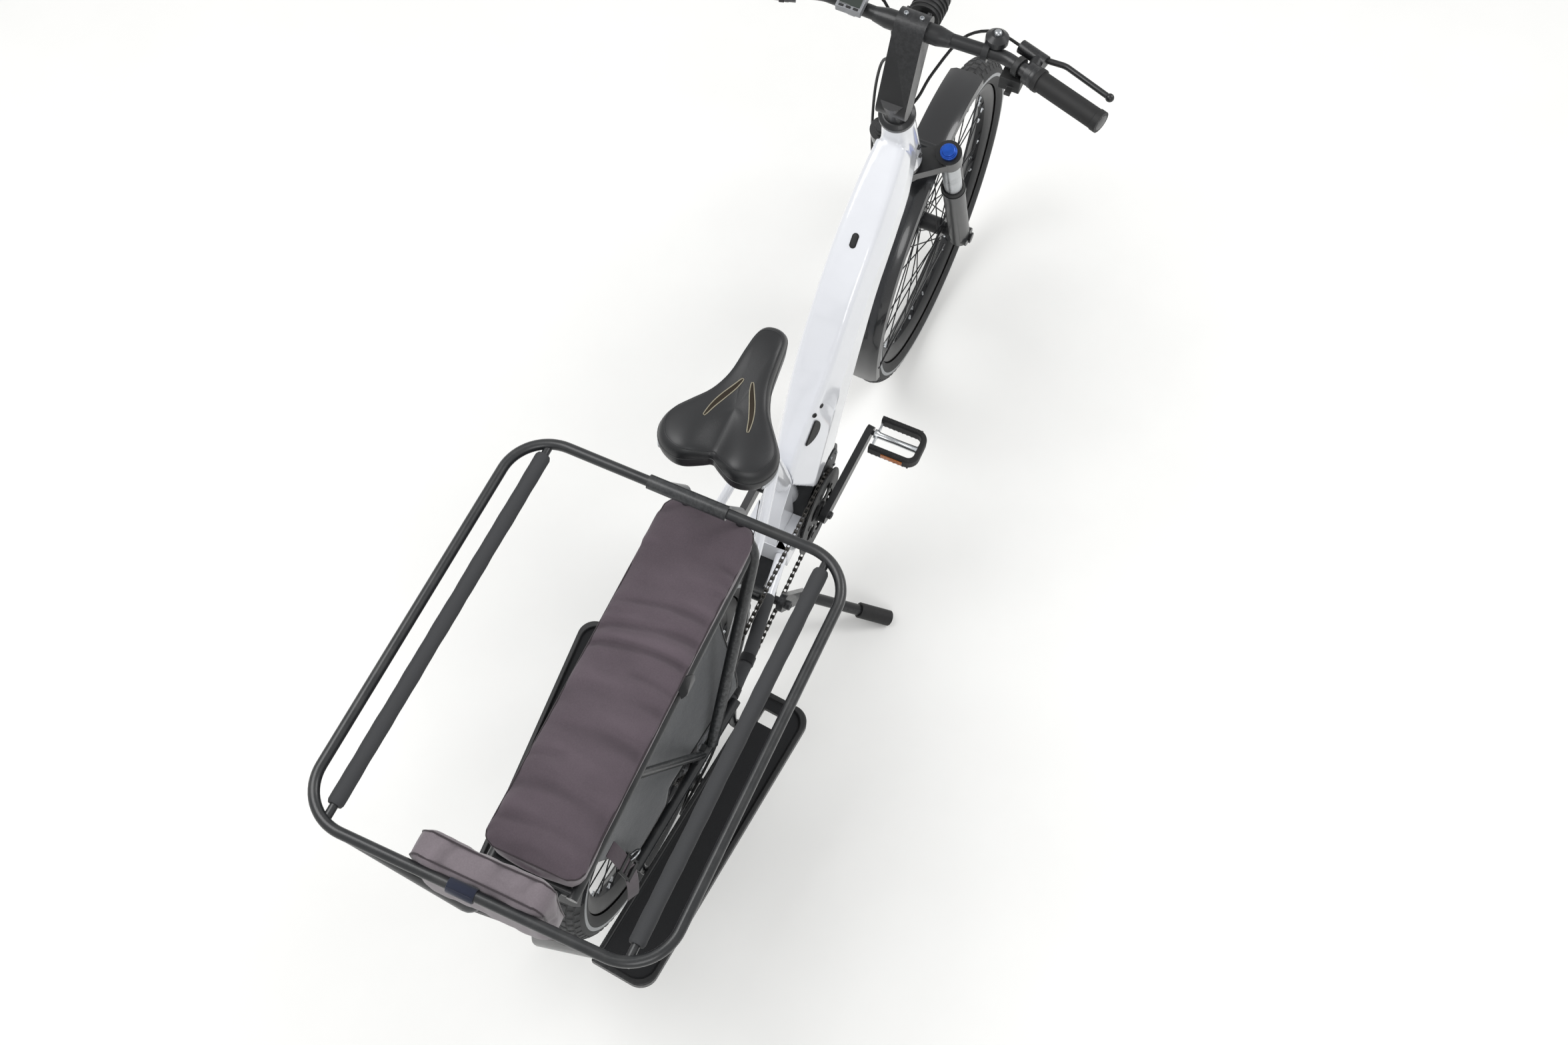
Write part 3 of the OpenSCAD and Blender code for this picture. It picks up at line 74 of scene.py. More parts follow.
MM = 0.001
ORIGIN_X = 12.5
Colour = tuple[float, float, float, float]
Points = Sequence[Sequence[float]]
AHEAD = Vector((1, 0, 0))
LEFT = Vector((0, 1, 0))
UP = Vector((0, 0, 1))
DOWN = Vector((0, 0, -1))
FRONT_AXLE = (673.0, 0.0, 340.0)
REAR_AXLE = (-556.0, 0.0, 340.0)
RIM_IN_R = 264.0
DECK_Z = 730.0
DECK_TILT = math.radians(2.5)
CUSHION_TILT = math.tan(DECK_TILT)
CREASE_GAIN = 1.8
WELD_M = 4e-6
SAME_M = 1e-6
FLAT_ANGLE = math.radians(0.6)


def at(x: float, y: float, z: float) -> Vector:
    """Turns a place on the bike into the shared frame.

    Args:
        x: Distance ahead of the bottom bracket, in millimetres.
        y: Distance to the rider's left, in millimetres.
        z: Height above the ground, in millimetres.

    Returns:
        The point in metres.
    """
    return Vector(((x + ORIGIN_X) * MM, y * MM, z * MM))


def tint(code: str) -> Colour:
    """Turns a hex colour into linear red, green, blue and alpha.

    Args:
        code: Colour such as "#1c1d1f".

    Returns:
        Four linear values.
    """
    parts = [int(code[i : i + 2], 16) / 255 for i in (1, 3, 5)]
    red, green, blue = [c / 12.92 if c <= 0.04045 else ((c + 0.055) / 1.055) ** 2.4 for c in parts]
    return (red, green, blue, 1.0)


def toned(colour: Colour, factor: float) -> Colour:
    """A colour made darker or lighter by a factor."""
    return tuple(min(1.0, c * factor) for c in colour[:3]) + (1.0,)


class Sock:
    """One output of a shader node; operators on it add Math nodes."""

    def __init__(self, shader: "Shader", socket: bpy.types.NodeSocket) -> None:
        """Keeps the tree and the socket that it wraps."""
        self.shader = shader
        self.socket = socket

    def _math(self, operation: str, other: "Value", swap: bool = False) -> "Sock":
        """Adds one Math node.

        Args:
            operation: Math node operation.
            other: Second value.
            swap: Whether the other value comes first.

        Returns:
            The result.
        """
        pair = (other, self) if swap else (self, other)
        return self.shader.node("ShaderNodeMath", {"operation": operation}, {0: pair[0], 1: pair[1]})

    def __add__(self, other: "Value") -> "Sock":
        """Sum."""
        return self._math("ADD", other)

    __radd__ = __add__

    def __sub__(self, other: "Value") -> "Sock":
        """Difference."""
        return self._math("SUBTRACT", other)

    def __rsub__(self, other: "Value") -> "Sock":
        """Difference with the number first."""
        return self._math("SUBTRACT", other, True)

    def __mul__(self, other: "Value") -> "Sock":
        """Product."""
        return self._math("MULTIPLY", other)

    __rmul__ = __mul__

    def most(self, other: "Value") -> "Sock":
        """Larger of two values."""
        return self._math("MAXIMUM", other)

    def wave(self) -> "Sock":
        """Sine of the value."""
        return self._math("SINE", 0.0)

    def step(self, low: float, high: float) -> "Sock":
        """Rises smoothly from 0 to 1.

        Args:
            low: Value at which it leaves 0; above high, it falls instead.
            high: Value at which it reaches 1.

        Returns:
            The smooth step.
        """
        settings = {"interpolation_type": "SMOOTHSTEP"}
        ends = {1: low, 2: high, 3: 0.0, 4: 1.0}
        if low > high:
            ends = {1: high, 2: low, 3: 1.0, 4: 0.0}
        return self.shader.node("ShaderNodeMapRange", settings, {0: self, **ends})


Value = Union[float, Sock]


class Shader:
    """A material's node tree while it is written."""

    def __init__(self, name: str) -> None:
        """Starts a material with one Principled shader."""
        self.material = bpy.data.materials.new(name)
        self.material.use_nodes = True
        self.tree = self.material.node_tree
        self.tree.nodes.clear()
        self.output = self.tree.nodes.new("ShaderNodeOutputMaterial")
        self.bsdf = self.tree.nodes.new("ShaderNodeBsdfPrincipled")
        self.tree.links.new(self.bsdf.outputs[0], self.output.inputs[0])
        self.place = self.node("ShaderNodeTexCoord", out="Object")

    def node(
        self, kind: str, settings: dict | None = None, inputs: dict | None = None, out: int | str = 0
    ) -> Sock:
        """Adds a node.

        Args:
            kind: Blender's node type.
            settings: Properties that are set first.
            inputs: Values or links by socket name or number.
            out: Output to hand back.

        Returns:
            The chosen output.
        """
        made = self.tree.nodes.new(kind)
        for key, value in (settings or {}).items():
            setattr(made, key, value)
        for key, value in (inputs or {}).items():
            self.feed(made.inputs[key], value)
        return Sock(self, made.outputs[out])

    def feed(self, socket: bpy.types.NodeSocket, value: object) -> None:
        """Links a socket, or sets its value."""
        if isinstance(value, Sock):
            self.tree.links.new(value.socket, socket)
        else:
            socket.default_value = value

    def set(self, **sockets: object) -> None:
        """Feeds the Principled shader; an underscore stands for a space."""
        for key, value in sockets.items():
            self.feed(self.bsdf.inputs[key.replace("_", " ")], value)

    def noise(self, size_mm: float, detail: float = 2.0, rough: float = 0.5) -> Sock:
        """Cloudy noise.

        Args:
            size_mm: Size of one cloud.
            detail: Octaves.
            rough: Strength of the finer octaves.

        Returns:
            A value about 0.5.
        """
        inputs = {"Vector": self.place, "Scale": 1 / (size_mm * MM), "Detail": detail, "Roughness": rough}
        return self.node("ShaderNodeTexNoise", None, inputs)

    def cells(self, size_mm: float, feature: str = "F1") -> Sock:
        """Distance in a pattern of cells.

        Args:
            size_mm: Size of one cell.
            feature: Which distance.

        Returns:
            The distance.
        """
        return self.node(
            "ShaderNodeTexVoronoi", {"feature": feature},
            {"Vector": self.place, "Scale": 1 / (size_mm * MM)}
        )

    def split(self, where: Sock | None = None) -> tuple[Sock, Sock, Sock]:
        """The three parts of a coordinate."""
        node = self.node("ShaderNodeSeparateXYZ", None, {0: where or self.place}).socket.node
        return tuple(Sock(self, node.outputs[i]) for i in range(3))

    def mix(self, share: Value, first: object, second: object) -> Sock:
        """Blends two colours."""
        return self.node("ShaderNodeMix", {"data_type": "RGBA"}, {0: share, 6: first, 7: second}, 2)

    def attribute(self, name: str) -> Sock:
        """A value stored on the mesh."""
        return self.node("ShaderNodeAttribute", {"attribute_name": name}, None, "Fac")

    def bump(self, height: Sock, depth_mm: float, strength: float = 1.0, below: Sock | None = None) -> Sock:
        """A bump.

        Args:
            height: Height from 0 to 1.
            depth_mm: Depth of the full height.
            strength: Share that shows.
            below: Another bump under this one.

        Returns:
            The normal.
        """
        inputs = {"Height": height, "Distance": depth_mm * MM, "Strength": strength}
        if below is not None:
            inputs["Normal"] = below
        return self.node("ShaderNodeBump", None, inputs)

    def edges(self) -> Sock:
        """How far a spot stands out, from 0 in hollows to 1 on edges."""
        return self.node("ShaderNodeNewGeometry", out="Pointiness")


@dataclass(frozen=True)
class Finish:
    """A rigid surface: paint, metal, moulded plastic or rubber."""

    name: str
    slot: str
    colour: str
    roughness: float = 0.5
    metallic: float = 0.0
    coat: float = 0.0
    tone: float = 0.12
    tone_mm: float = 70.0
    grain_mm: float = 0.8
    grain: float = 0.04
    wear: float = 0.0
    wear_colour: str = "#77787a"
    dust: float = 0.0

    def build(self) -> bpy.types.Material:
        """Writes the material.

        Returns:
            The finished material.
        """
        s = Shader(self.name)
        base, clouds = tint(self.colour), s.noise(self.tone_mm, 4.0, 0.6)
        low = toned(base, 1 - self.tone)
        high = toned(base, 1 + self.tone)
        shade = s.mix(clouds.step(0.3, 0.7), low, high)
        fine = s.noise(self.grain_mm, 3.0, 0.6)
        rough = self.roughness + 0.12 * (clouds - 0.5) + 0.1 * (fine - 0.5)
        if self.wear:
            rubbed = s.edges().step(0.515, 0.6) * s.noise(6.0, 4.0, 0.7).step(0.38, 0.62) * self.wear
            shade = s.mix(rubbed, shade, tint(self.wear_colour))
            rough = rough - 0.12 * rubbed
        if self.dust:
            _, _, height = s.split(s.node("ShaderNodeNewGeometry", out="Normal"))
            film = height.step(0.1, 1.0) * s.noise(25.0, 5.0, 0.65).step(0.35, 0.75) * self.dust
            shade = s.mix(film, shade, tint("#8d8a86"))
            rough = rough + 0.2 * film
        s.set(Base_Color=shade, Roughness=rough.most(0.03), Metallic=self.metallic)
        s.set(Normal=s.bump(fine, 0.25, min(1.0, self.grain * 5)))
        if self.coat:
            s.set(Coat_Weight=self.coat, Coat_Roughness=0.06)
        return s.material


@dataclass(frozen=True)
class Woven(Finish):
    """Cloth with crossing yarns, a soft sheen and pressed creases, with painted shade in the creases and
    painted highlights on the ridges between them.
    """

    yarn_mm: float = 0.9

    def build(self) -> bpy.types.Material:
        """Writes the material.

        Returns:
            The finished material.
        """
        s = Shader(self.name)
        x, y, z = s.split()
        turn = 2 * math.pi / (self.yarn_mm * MM)
        warp, weft = ((x + 0.35 * z) * turn).wave(), ((y + 0.35 * z) * turn).wave()
        yarns = (warp * weft) * 0.5 + 0.5
        slubs, clouds = s.noise(2.2, 3.0, 0.7), s.noise(80.0, 4.0, 0.6)
        base = tint(self.colour)
        dark = toned(base, 0.62)
        light = toned(base, 1.3)
        shade = s.mix((0.45 * yarns + 0.35 * slubs + 0.25 * clouds).step(0.15, 0.95), dark, light)
        lint = s.noise(1.4, 1.0, 0.5).step(0.73, 0.8) * s.noise(30.0, 2.0, 0.5).step(0.5, 0.7)
        shade = s.mix(lint * 0.35, shade, tint("#a8a2a4"))
        # Painted shade darkens the creases and a painted highlight lightens the ridges, read from the fold
        # depth that the pad stores.
        fold = s.attribute("fold")
        shade = s.mix((-1.0 * fold).step(0.05, 0.9) * 0.34, shade, toned(base, 0.22))
        shade = s.mix(fold.step(0.05, 0.7) * 0.18, shade, toned(base, 1.7))
        soft = s.bump(s.noise(26.0, 3.0, 0.55), 2.2, 0.35)
        s.set(Base_Color=shade, Roughness=0.78 + 0.12 * (slubs - 0.5))
        s.set(Normal=s.bump(yarns * 0.7 + slubs * 0.3, 0.3, 0.55, soft))
        s.set(Sheen_Weight=0.35, Sheen_Roughness=0.45, Specular_IOR_Level=0.2)
        return s.material


@dataclass(frozen=True)
class Grained(Finish):
    """Vinyl, foam or grip tape with a raised grain."""

    cell_mm: float = 1.6
    cell: float = 0.5

    def build(self) -> bpy.types.Material:
        """Writes the material.

        Returns:
            The finished material.
        """
        s = Shader(self.name)
        clouds, fine = s.noise(self.tone_mm, 4.0, 0.6), s.noise(self.grain_mm, 2.0, 0.6)
        cells = s.cells(self.cell_mm).step(0.0, 0.75)
        base = tint(self.colour)
        low = toned(base, 1 - self.tone)
        high = toned(base, 1 + 2 * self.tone)
        shade = s.mix(0.6 * clouds + 0.4 * (1 - cells), low, high)
        rough = self.roughness + 0.14 * (clouds - 0.5) + 0.1 * (fine - 0.5)
        if self.wear:
            rubbed = s.edges().step(0.51, 0.58) * s.noise(9.0, 4.0, 0.7).step(0.4, 0.65) * self.wear
            shade = s.mix(rubbed, shade, tint(self.wear_colour))
        s.set(Base_Color=shade, Roughness=rough)
        s.set(Normal=s.bump(cells * 0.6 + fine * 0.4, 0.35, self.cell))
        if self.coat:
            s.set(Coat_Weight=self.coat, Coat_Roughness=0.3)
        return s.material


@dataclass(frozen=True)
class Lens(Finish):
    """Clear or coloured plastic over a faceted reflector."""

    facet_mm: float = 3.0

    def build(self) -> bpy.types.Material:
        """Writes the material.

        Returns:
            The finished material.
        """
        s = Shader(self.name)
        base, facets = tint(self.colour), s.cells(self.facet_mm, "DISTANCE_TO_EDGE").step(0.0, 0.25)
        dark = toned(base, 0.35)
        s.set(Base_Color=s.mix(facets, dark, base), Roughness=0.12 + 0.1 * s.noise(8.0))
        s.set(Normal=s.bump(facets, 0.5, 0.4), Coat_Weight=1.0, Coat_Roughness=0.04)
        return s.material


_made: dict[str, bpy.types.Material] = {}


def material(finish: Finish) -> bpy.types.Material:
    """The one material of a finish, written when it is first needed."""
    if finish.name not in _made:
        _made[finish.name] = finish.build()
    return _made[finish.name]


class Surface(Enum):
    """Every finish on the bike."""

    PAINT = Finish("white_gloss_paint", "white_paint", "#dcdee3", 0.2, 0, 1.0, 0.025, 160, 0.5, 0.01)
    BLACK_METAL = Finish(
        "black_powder_coat", "black_metal", "#151618", 0.36, 0, 0.1, 0.14, 60, 0.35, 0.05, 0.18
    )
    RAIL = Finish(
        "rail_powder_coat", "black_metal", "#1c1e20", 0.33, 0, 0.15, 0.14, 55, 0.3, 0.05, 0.2, "#8b8e90",
        0.06
    )
    PLASTIC = Finish(
        "black_moulded_plastic", "black_plastic", "#161718", 0.5, 0, 0, 0.14, 50, 0.5, 0.12, 0.1, "#56585a",
        0.06
    )
    SATIN = Finish("black_satin_plastic", "dark_cover", "#1a1b1d", 0.36, 0, 0.15, 0.1, 60, 0.4, 0.06)
    MUDGUARD = Finish("mudguard_plastic", "black_plastic", "#1b1c1e", 0.24, 0, 0.5, 0.04, 90, 0.5, 0.02)
    RUBBER = Finish(
        "black_rubber", "black_rubber", "#0c0c0d", 0.56, 0, 0, 0.15, 30, 0.5, 0.16, 0.15, "#4a4b4c"
    )
    TYRE = Finish("tyre_rubber", "tyre", "#232425", 0.7, 0, 0, 0.16, 40, 0.6, 0.2, 0.2, "#55565a", 0.12)
    STRIPE = Finish("reflective_stripe", "tyre", "#8f9294", 0.42, 0.2, 0, 0.1, 12, 0.3, 0.12)
    STEEL = Finish("bright_steel", "steel", "#b7babd", 0.28, 1, 0, 0.1, 30, 0.3, 0.04)
    ALLOY = Finish("polished_alloy", "pedal_alloy", "#c9ccce", 0.24, 1, 0, 0.08, 20, 0.3, 0.05)
    CHAIN = Finish("oiled_chain_steel", "chain_steel", "#4c4a47", 0.34, 0.9, 0, 0.3, 12, 0.4, 0.08)
    CASSETTE = Finish("grey_sprocket_steel", "steel", "#77787a", 0.36, 0.9, 0, 0.2, 14, 0.4, 0.06)
    FORK = Finish("fork_graphite_paint", "fork_grey", "#1d1f21", 0.42, 0.1, 0.2, 0.08, 60, 0.4, 0.03)
    CROWN = Finish("fork_black_crown", "black_metal", "#161718", 0.34, 0.1, 0.3, 0.1, 40, 0.4, 0.05)
    BLUE = Finish("blue_anodised_knob", "blue_knob", "#1f55b8", 0.3, 0.6, 0.3, 0.1, 12, 0.3, 0.04)
    GREY = Finish("silver_grey_bezel", "grey_plastic", "#85878a", 0.38, 0.3, 0, 0.06, 30, 0.4, 0.03)
    SCREEN = Finish("dark_green_screen", "grey_plastic", "#1d2721", 0.12, 0, 0.8, 0.1, 20, 0.6, 0.0)
    SPOKE = Finish("black_spoke_wire", "spoke_steel", "#242527", 0.36, 0.7, 0, 0.1, 20, 0.4, 0.02)
    RIM = Finish("black_anodised_rim", "black_metal", "#191a1c", 0.38, 0.4, 0, 0.1, 60, 0.3, 0.04, 0.3)
    MOTOR = Finish("motor_cover", "dark_cover", "#202224", 0.48, 0.1, 0, 0.12, 60, 0.5, 0.08)
    VINYL = Grained(
        "saddle_vinyl", "saddle_vinyl", "#17181a", 0.42, 0, 0.06, 0.12, 60, 0.6, 0.1, 0.1, "#3a3b3d", 0,
        1.3, 0.22
    )
    SADDLE_SHELL = Finish(
        "saddle_silver_shell", "grey_plastic", "#c3c6c9", 0.3, 0.25, 0.4, 0.05, 50, 0.5, 0.02
    )
    SLOT_INLAY = Woven("saddle_brown_inlay", "saddle_vinyl", "#2c2419", yarn_mm=0.7)
    SLOT_PIPING = Finish("saddle_beige_piping", "saddle_vinyl", "#8c8675", 0.6, 0, 0, 0.1, 10, 0.4, 0.15)
    FOAM = Grained(
        "foam_sleeve", "foam", "#333436", 0.82, 0, 0, 0.14, 40, 0.7, 0.2, 0.2, "#4b4c4e", 0, 0.9, 0.6
    )
    CLOTH = Woven("mauve_pad_cloth", "fabric", "#5b5158", yarn_mm=0.8)
    # A paler copy of the pad cloth, used on the whole backrest.
    WORN_CLOTH = Woven("worn_pad_cloth", "fabric", "#766e73", yarn_mm=0.8)
    PIPING = Woven("pad_piping_cloth", "fabric", "#3c3539", yarn_mm=0.6)
    WEBBING = Woven("mauve_webbing", "fabric", "#4d444a", yarn_mm=1.5)
    WEB_BLACK = Woven("black_webbing", "fabric", "#191a1c", yarn_mm=0.9)
    NAVY_STRAP = Woven("navy_hook_strap", "fabric", "#232839", yarn_mm=0.6)
    GRIP_TAPE = Grained(
        "footboard_grip_tape", "board", "#17181a", 0.88, 0, 0, 0.18, 70, 0.5, 0.3, 0.25, "#55575a", 0, 0.7,
        0.9
    )
    BOARD_EDGE = Finish("footboard_moulding", "board", "#141516", 0.44, 0, 0, 0.12, 50, 0.5, 0.08, 0.2)
    GUARD = Woven("coated_guard_sheet", "guard_sheet", "#3d4043", yarn_mm=0.5)
    RED_LENS = Lens("red_lamp_lens", "lamp_red", "#8d1216")
    AMBER = Lens("amber_reflector", "pedal_alloy", "#d1730f", facet_mm=2.0)
    CLEAR = Lens("headlamp_lens", "grey_plastic", "#aab0b4", facet_mm=4.0)


_frame: dict = {}


def smooth_by_angle(mesh: bpy.types.Mesh, degrees: float) -> None:
    """Shades a mesh smooth, apart from edges sharper than an angle."""
    mesh.shade_smooth()
    mesh.set_sharp_from_angle(angle=math.radians(degrees))


def add_object(name: str, mesh: bpy.types.ID) -> bpy.types.Object:
    """Puts a mesh or curve in the scene."""
    made = bpy.data.objects.new(name, mesh)
    bpy.context.scene.collection.objects.link(made)
    return made


def settle(
    piece: bpy.types.Object, body: str, surface: Surface, nodes: Iterable[str] = (), dress: bool = True
) -> bpy.types.Object:
    """Gives a finished piece its material and body, and hides the CAD nodes that it stands for.

    Args:
        piece: The piece, in place.
        body: CAD body that it rides on.
        surface: Its finish.
        nodes: CAD nodes that it stands for.
        dress: Whether the surface's material goes on the first slot.

    Returns:
        The same piece.
    """
    if dress:
        piece.data.materials.clear()
        piece.data.materials.append(material(surface.value))
    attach(piece, body)
    for node in nodes:
        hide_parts(node)
    log.info("%s rides on %s", piece.name, body)
    return piece


def refined(node: str, surface: Surface, bevel_mm: float, degrees: float) -> bpy.types.Object:
    """A copy of a CAD node with merged points, soft edges and a finish.

    Args:
        node: CAD node.
        surface: Finish.
        bevel_mm: Width of the rounded edges.
        degrees: Sharpest angle that is still shaded smooth.

    Returns:
        The piece that stands for the node.
    """
    mesh = _frame["nodes"][node].data.copy()
    mesh.name = node + "_skin"
    work = bmesh.new()
    work.from_mesh(mesh)
    bmesh.ops.remove_doubles(work, verts=work.verts, dist=WELD_M)
    bmesh.ops.dissolve_limit(work, angle_limit=FLAT_ANGLE, verts=work.verts, edges=work.edges)
    work.to_mesh(mesh)
    work.free()
    if mesh.has_custom_normals:
        bpy.context.view_layer.update()
        mesh.attributes.remove(mesh.attributes["custom_normal"])
    smooth_by_angle(mesh, degrees)
    piece = add_object(node + "_skin", mesh)
    if bevel_mm:
        soft = piece.modifiers.new("soft_edges", "BEVEL")
        soft.width, soft.segments, soft.limit_method = bevel_mm * MM, 2, "ANGLE"
        soft.angle_limit = math.radians(degrees)
        soft.use_clamp_overlap = True
    return settle(piece, _frame["body"][node], surface, [node])


def spline(points: Points, steps: int, closed: bool = False) -> list[Vector]:
    """A soft line through points.

    Args:
        points: Points to pass.
        steps: Steps between two of them.
        closed: Whether the line returns to its start.

    Returns:
        The finer points.
    """
    given, out = [Vector(p) for p in points], []
    last = len(given) - 1
    spans = range(len(given) if closed else last)

    def pick(i: int) -> Vector:
        """A point by number, held or wrapped at the ends."""
        return given[i % len(given)] if closed else given[min(max(i, 0), last)]

    for i in spans:
        a, b, c, d = pick(i - 1), pick(i), pick(i + 1), pick(i + 2)
        for k in range(steps):
            t = k / steps
            square, cube = 2 * a - 5 * b + 4 * c - d, 3 * b - a - 3 * c + d
            out.append(0.5 * (2 * b + (c - a) * t + square * t**2 + cube * t**3))
    return out if closed else out + [given[-1]]


def bent(points: Points, radius: float, steps: int = 8) -> list[Vector]:
    """Straight runs with a round bend at each inner point.

    Args:
        points: Corners of the line.
        radius: Bend radius.
        steps: Steps in a bend.

    Returns:
        The finer points.
    """
    p = [Vector(q) for q in points]
    out = [p[0]]
    for a, b, c in zip(p, p[1:], p[2:]):
        u, v = (b - a).normalized(), (c - b).normalized()
        turn = u.angle(v)
        if turn < 1e-3:
            out.append(b)
            continue
        n = (v - u * u.dot(v)).normalized()
        centre = b - u * radius * math.tan(turn / 2) + n * radius
        for k in range(steps + 1):
            h = turn * k / steps
            out.append(centre - n * radius * math.cos(h) + u * radius * math.sin(h))
    return out + [p[-1]]


class Shape:
    """Collects faces and turns them into one piece."""

    def __init__(self) -> None:
        """Starts empty."""
        self.points: list[Vector] = []
        self.faces: list[list[int]] = []
        self.kinds: list[int] = []
        self.kind = 0

    def add(self, points: Iterable[Vector], faces: Iterable[Sequence[int]]) -> None:
        """Adds points and the faces between them."""
        base = len(self.points)
        self.points += [Vector(p) for p in points]
        for face in faces:
            self.faces.append([base + i for i in face])
            self.kinds.append(self.kind)

    def grid(
        self, rows: Sequence[Sequence[Vector]], around: bool = True, caps: bool = True, loop: bool = False
    ) -> None:
        """Joins rows of points.

        Args:
            rows: Rows with as many points each.
            around: Whether a row is a ring.
            caps: Whether the first and last ring are closed.
            loop: Whether the last row joins the first.
        """
        n, m = len(rows), len(rows[0])
        faces = []
        for i in range(n if loop else n - 1):
            for k in range(m if around else m - 1):
                j, q = (i + 1) % n, (k + 1) % m
                faces.append([i * m + k, i * m + q, j * m + q, j * m + k])
        if caps and around and not loop:
            faces += [list(range(m - 1, -1, -1)), list(range((n - 1) * m, n * m))]
        self.add([p for row in rows for p in row], faces)

    def tube(
        self, line: Sequence[Vector], radius: float | Callable[[float], float], sides: int = 16,
        loop: bool = False
    ) -> None:
        """A round tube along a line.

        Args:
            line: Points of its middle.
            radius: Radius, or radius by share of the length.
            sides: Sides of its ring.
            loop: Whether it is a closed ring.
        """
        n, rows, side = len(line), [], None
        for i, p in enumerate(line):
            ahead = line[(i + 1) % n] if loop else line[min(i + 1, n - 1)]
            behind = line[i - 1] if loop else line[max(i - 1, 0)]
            t = (ahead - behind).normalized()
            if side is None:
                side = t.cross(UP if abs(t.z) < 0.9 else AHEAD)
            side = (side - t * side.dot(t)).normalized()
            other, r = t.cross(side), radius(i / (n - 1)) if callable(radius) else radius
            turns = [2 * math.pi * k / sides for k in range(sides)]
            rows.append([p + r * (side * math.cos(a) + other * math.sin(a)) for a in turns])
        self.grid(rows, True, not loop, loop)

    def turned(
        self, profile: Points, centre: Vector, axis: Vector, sides: int = 48, closed: bool = False
    ) -> None:
        """A shape turned round an axis.

        Args:
            profile: Pairs of radius and distance along the axis, in millimetres.
            centre: Point on the axis.
            axis: Its direction.
            sides: Steps round it.
            closed: Whether the profile is a closed loop.
        """
        scaled = [(r * MM, h * MM) for r, h in profile]
        w = axis.normalized()
        u = w.orthogonal().normalized()
        v = w.cross(u)
        rows = []
        for k in range(sides):
            a = 2 * math.pi * k / sides
            rows.append([centre + r * (u * math.cos(a) + v * math.sin(a)) + w * h for r, h in scaled])
        self.grid(rows, closed, False, True)

    def block(self, low: Vector, high: Vector, turn: Matrix | None = None) -> None:
        """A box, which the piece's bevel rounds.

        Args:
            low: Lowest corner.
            high: Highest corner.
            turn: Placing of the box.
        """
        corners = [
            Vector((x, y, z))
            for z in (low.z, high.z)
            for y in (low.y, high.y)
            for x in (low.x, high.x)
        ]
        placed = [turn @ c if turn else c for c in corners]
        self.add(
            placed, [[0, 2, 3, 1], [4, 5, 7, 6], [0, 1, 5, 4], [2, 6, 7, 3], [0, 4, 6, 2], [1, 3, 7, 5]]
        )

    def mesh(self, name: str, degrees: float = 40.0) -> bpy.types.Mesh:
        """Writes the mesh with its faces pointing outwards.

        Args:
            name: Mesh name.
            degrees: Sharpest angle that is shaded smooth.

        Returns:
            The mesh.
        """
        made = bpy.data.meshes.new(name)
        made.from_pydata([tuple(p) for p in self.points], [], self.faces)
        made.polygons.foreach_set("material_index", self.kinds)
        work = bmesh.new()
        work.from_mesh(made)
        bmesh.ops.remove_doubles(work, verts=work.verts, dist=SAME_M)
        bmesh.ops.recalc_face_normals(work, faces=work.faces)
        work.to_mesh(made)
        work.free()
        smooth_by_angle(made, degrees)
        return made

    def piece(
        self, name: str, body: str, *surfaces: Surface, nodes: Iterable[str] = (), bevel_mm: float = 0.0,
        degrees: float = 40.0
    ) -> bpy.types.Object:
        """Finishes the shape as a piece of the bike.

        Args:
            name: Piece name.
            body: CAD body that it rides on.
            surfaces: Finishes, by the number that faces were added with.
            nodes: CAD nodes that it stands for.
            bevel_mm: Width of rounded edges.
            degrees: Sharpest angle that is shaded smooth.

        Returns:
            The piece.
        """
        made = add_object(name, self.mesh(name, degrees))
        for surface in surfaces:
            made.data.materials.append(material(surface.value))
        if bevel_mm:
            soft = made.modifiers.new("soft_edges", "BEVEL")
            soft.width, soft.segments, soft.limit_method = bevel_mm * MM, 3, "ANGLE"
            soft.angle_limit = math.radians(degrees)
        return settle(made, body, surfaces[0], nodes, dress=False)


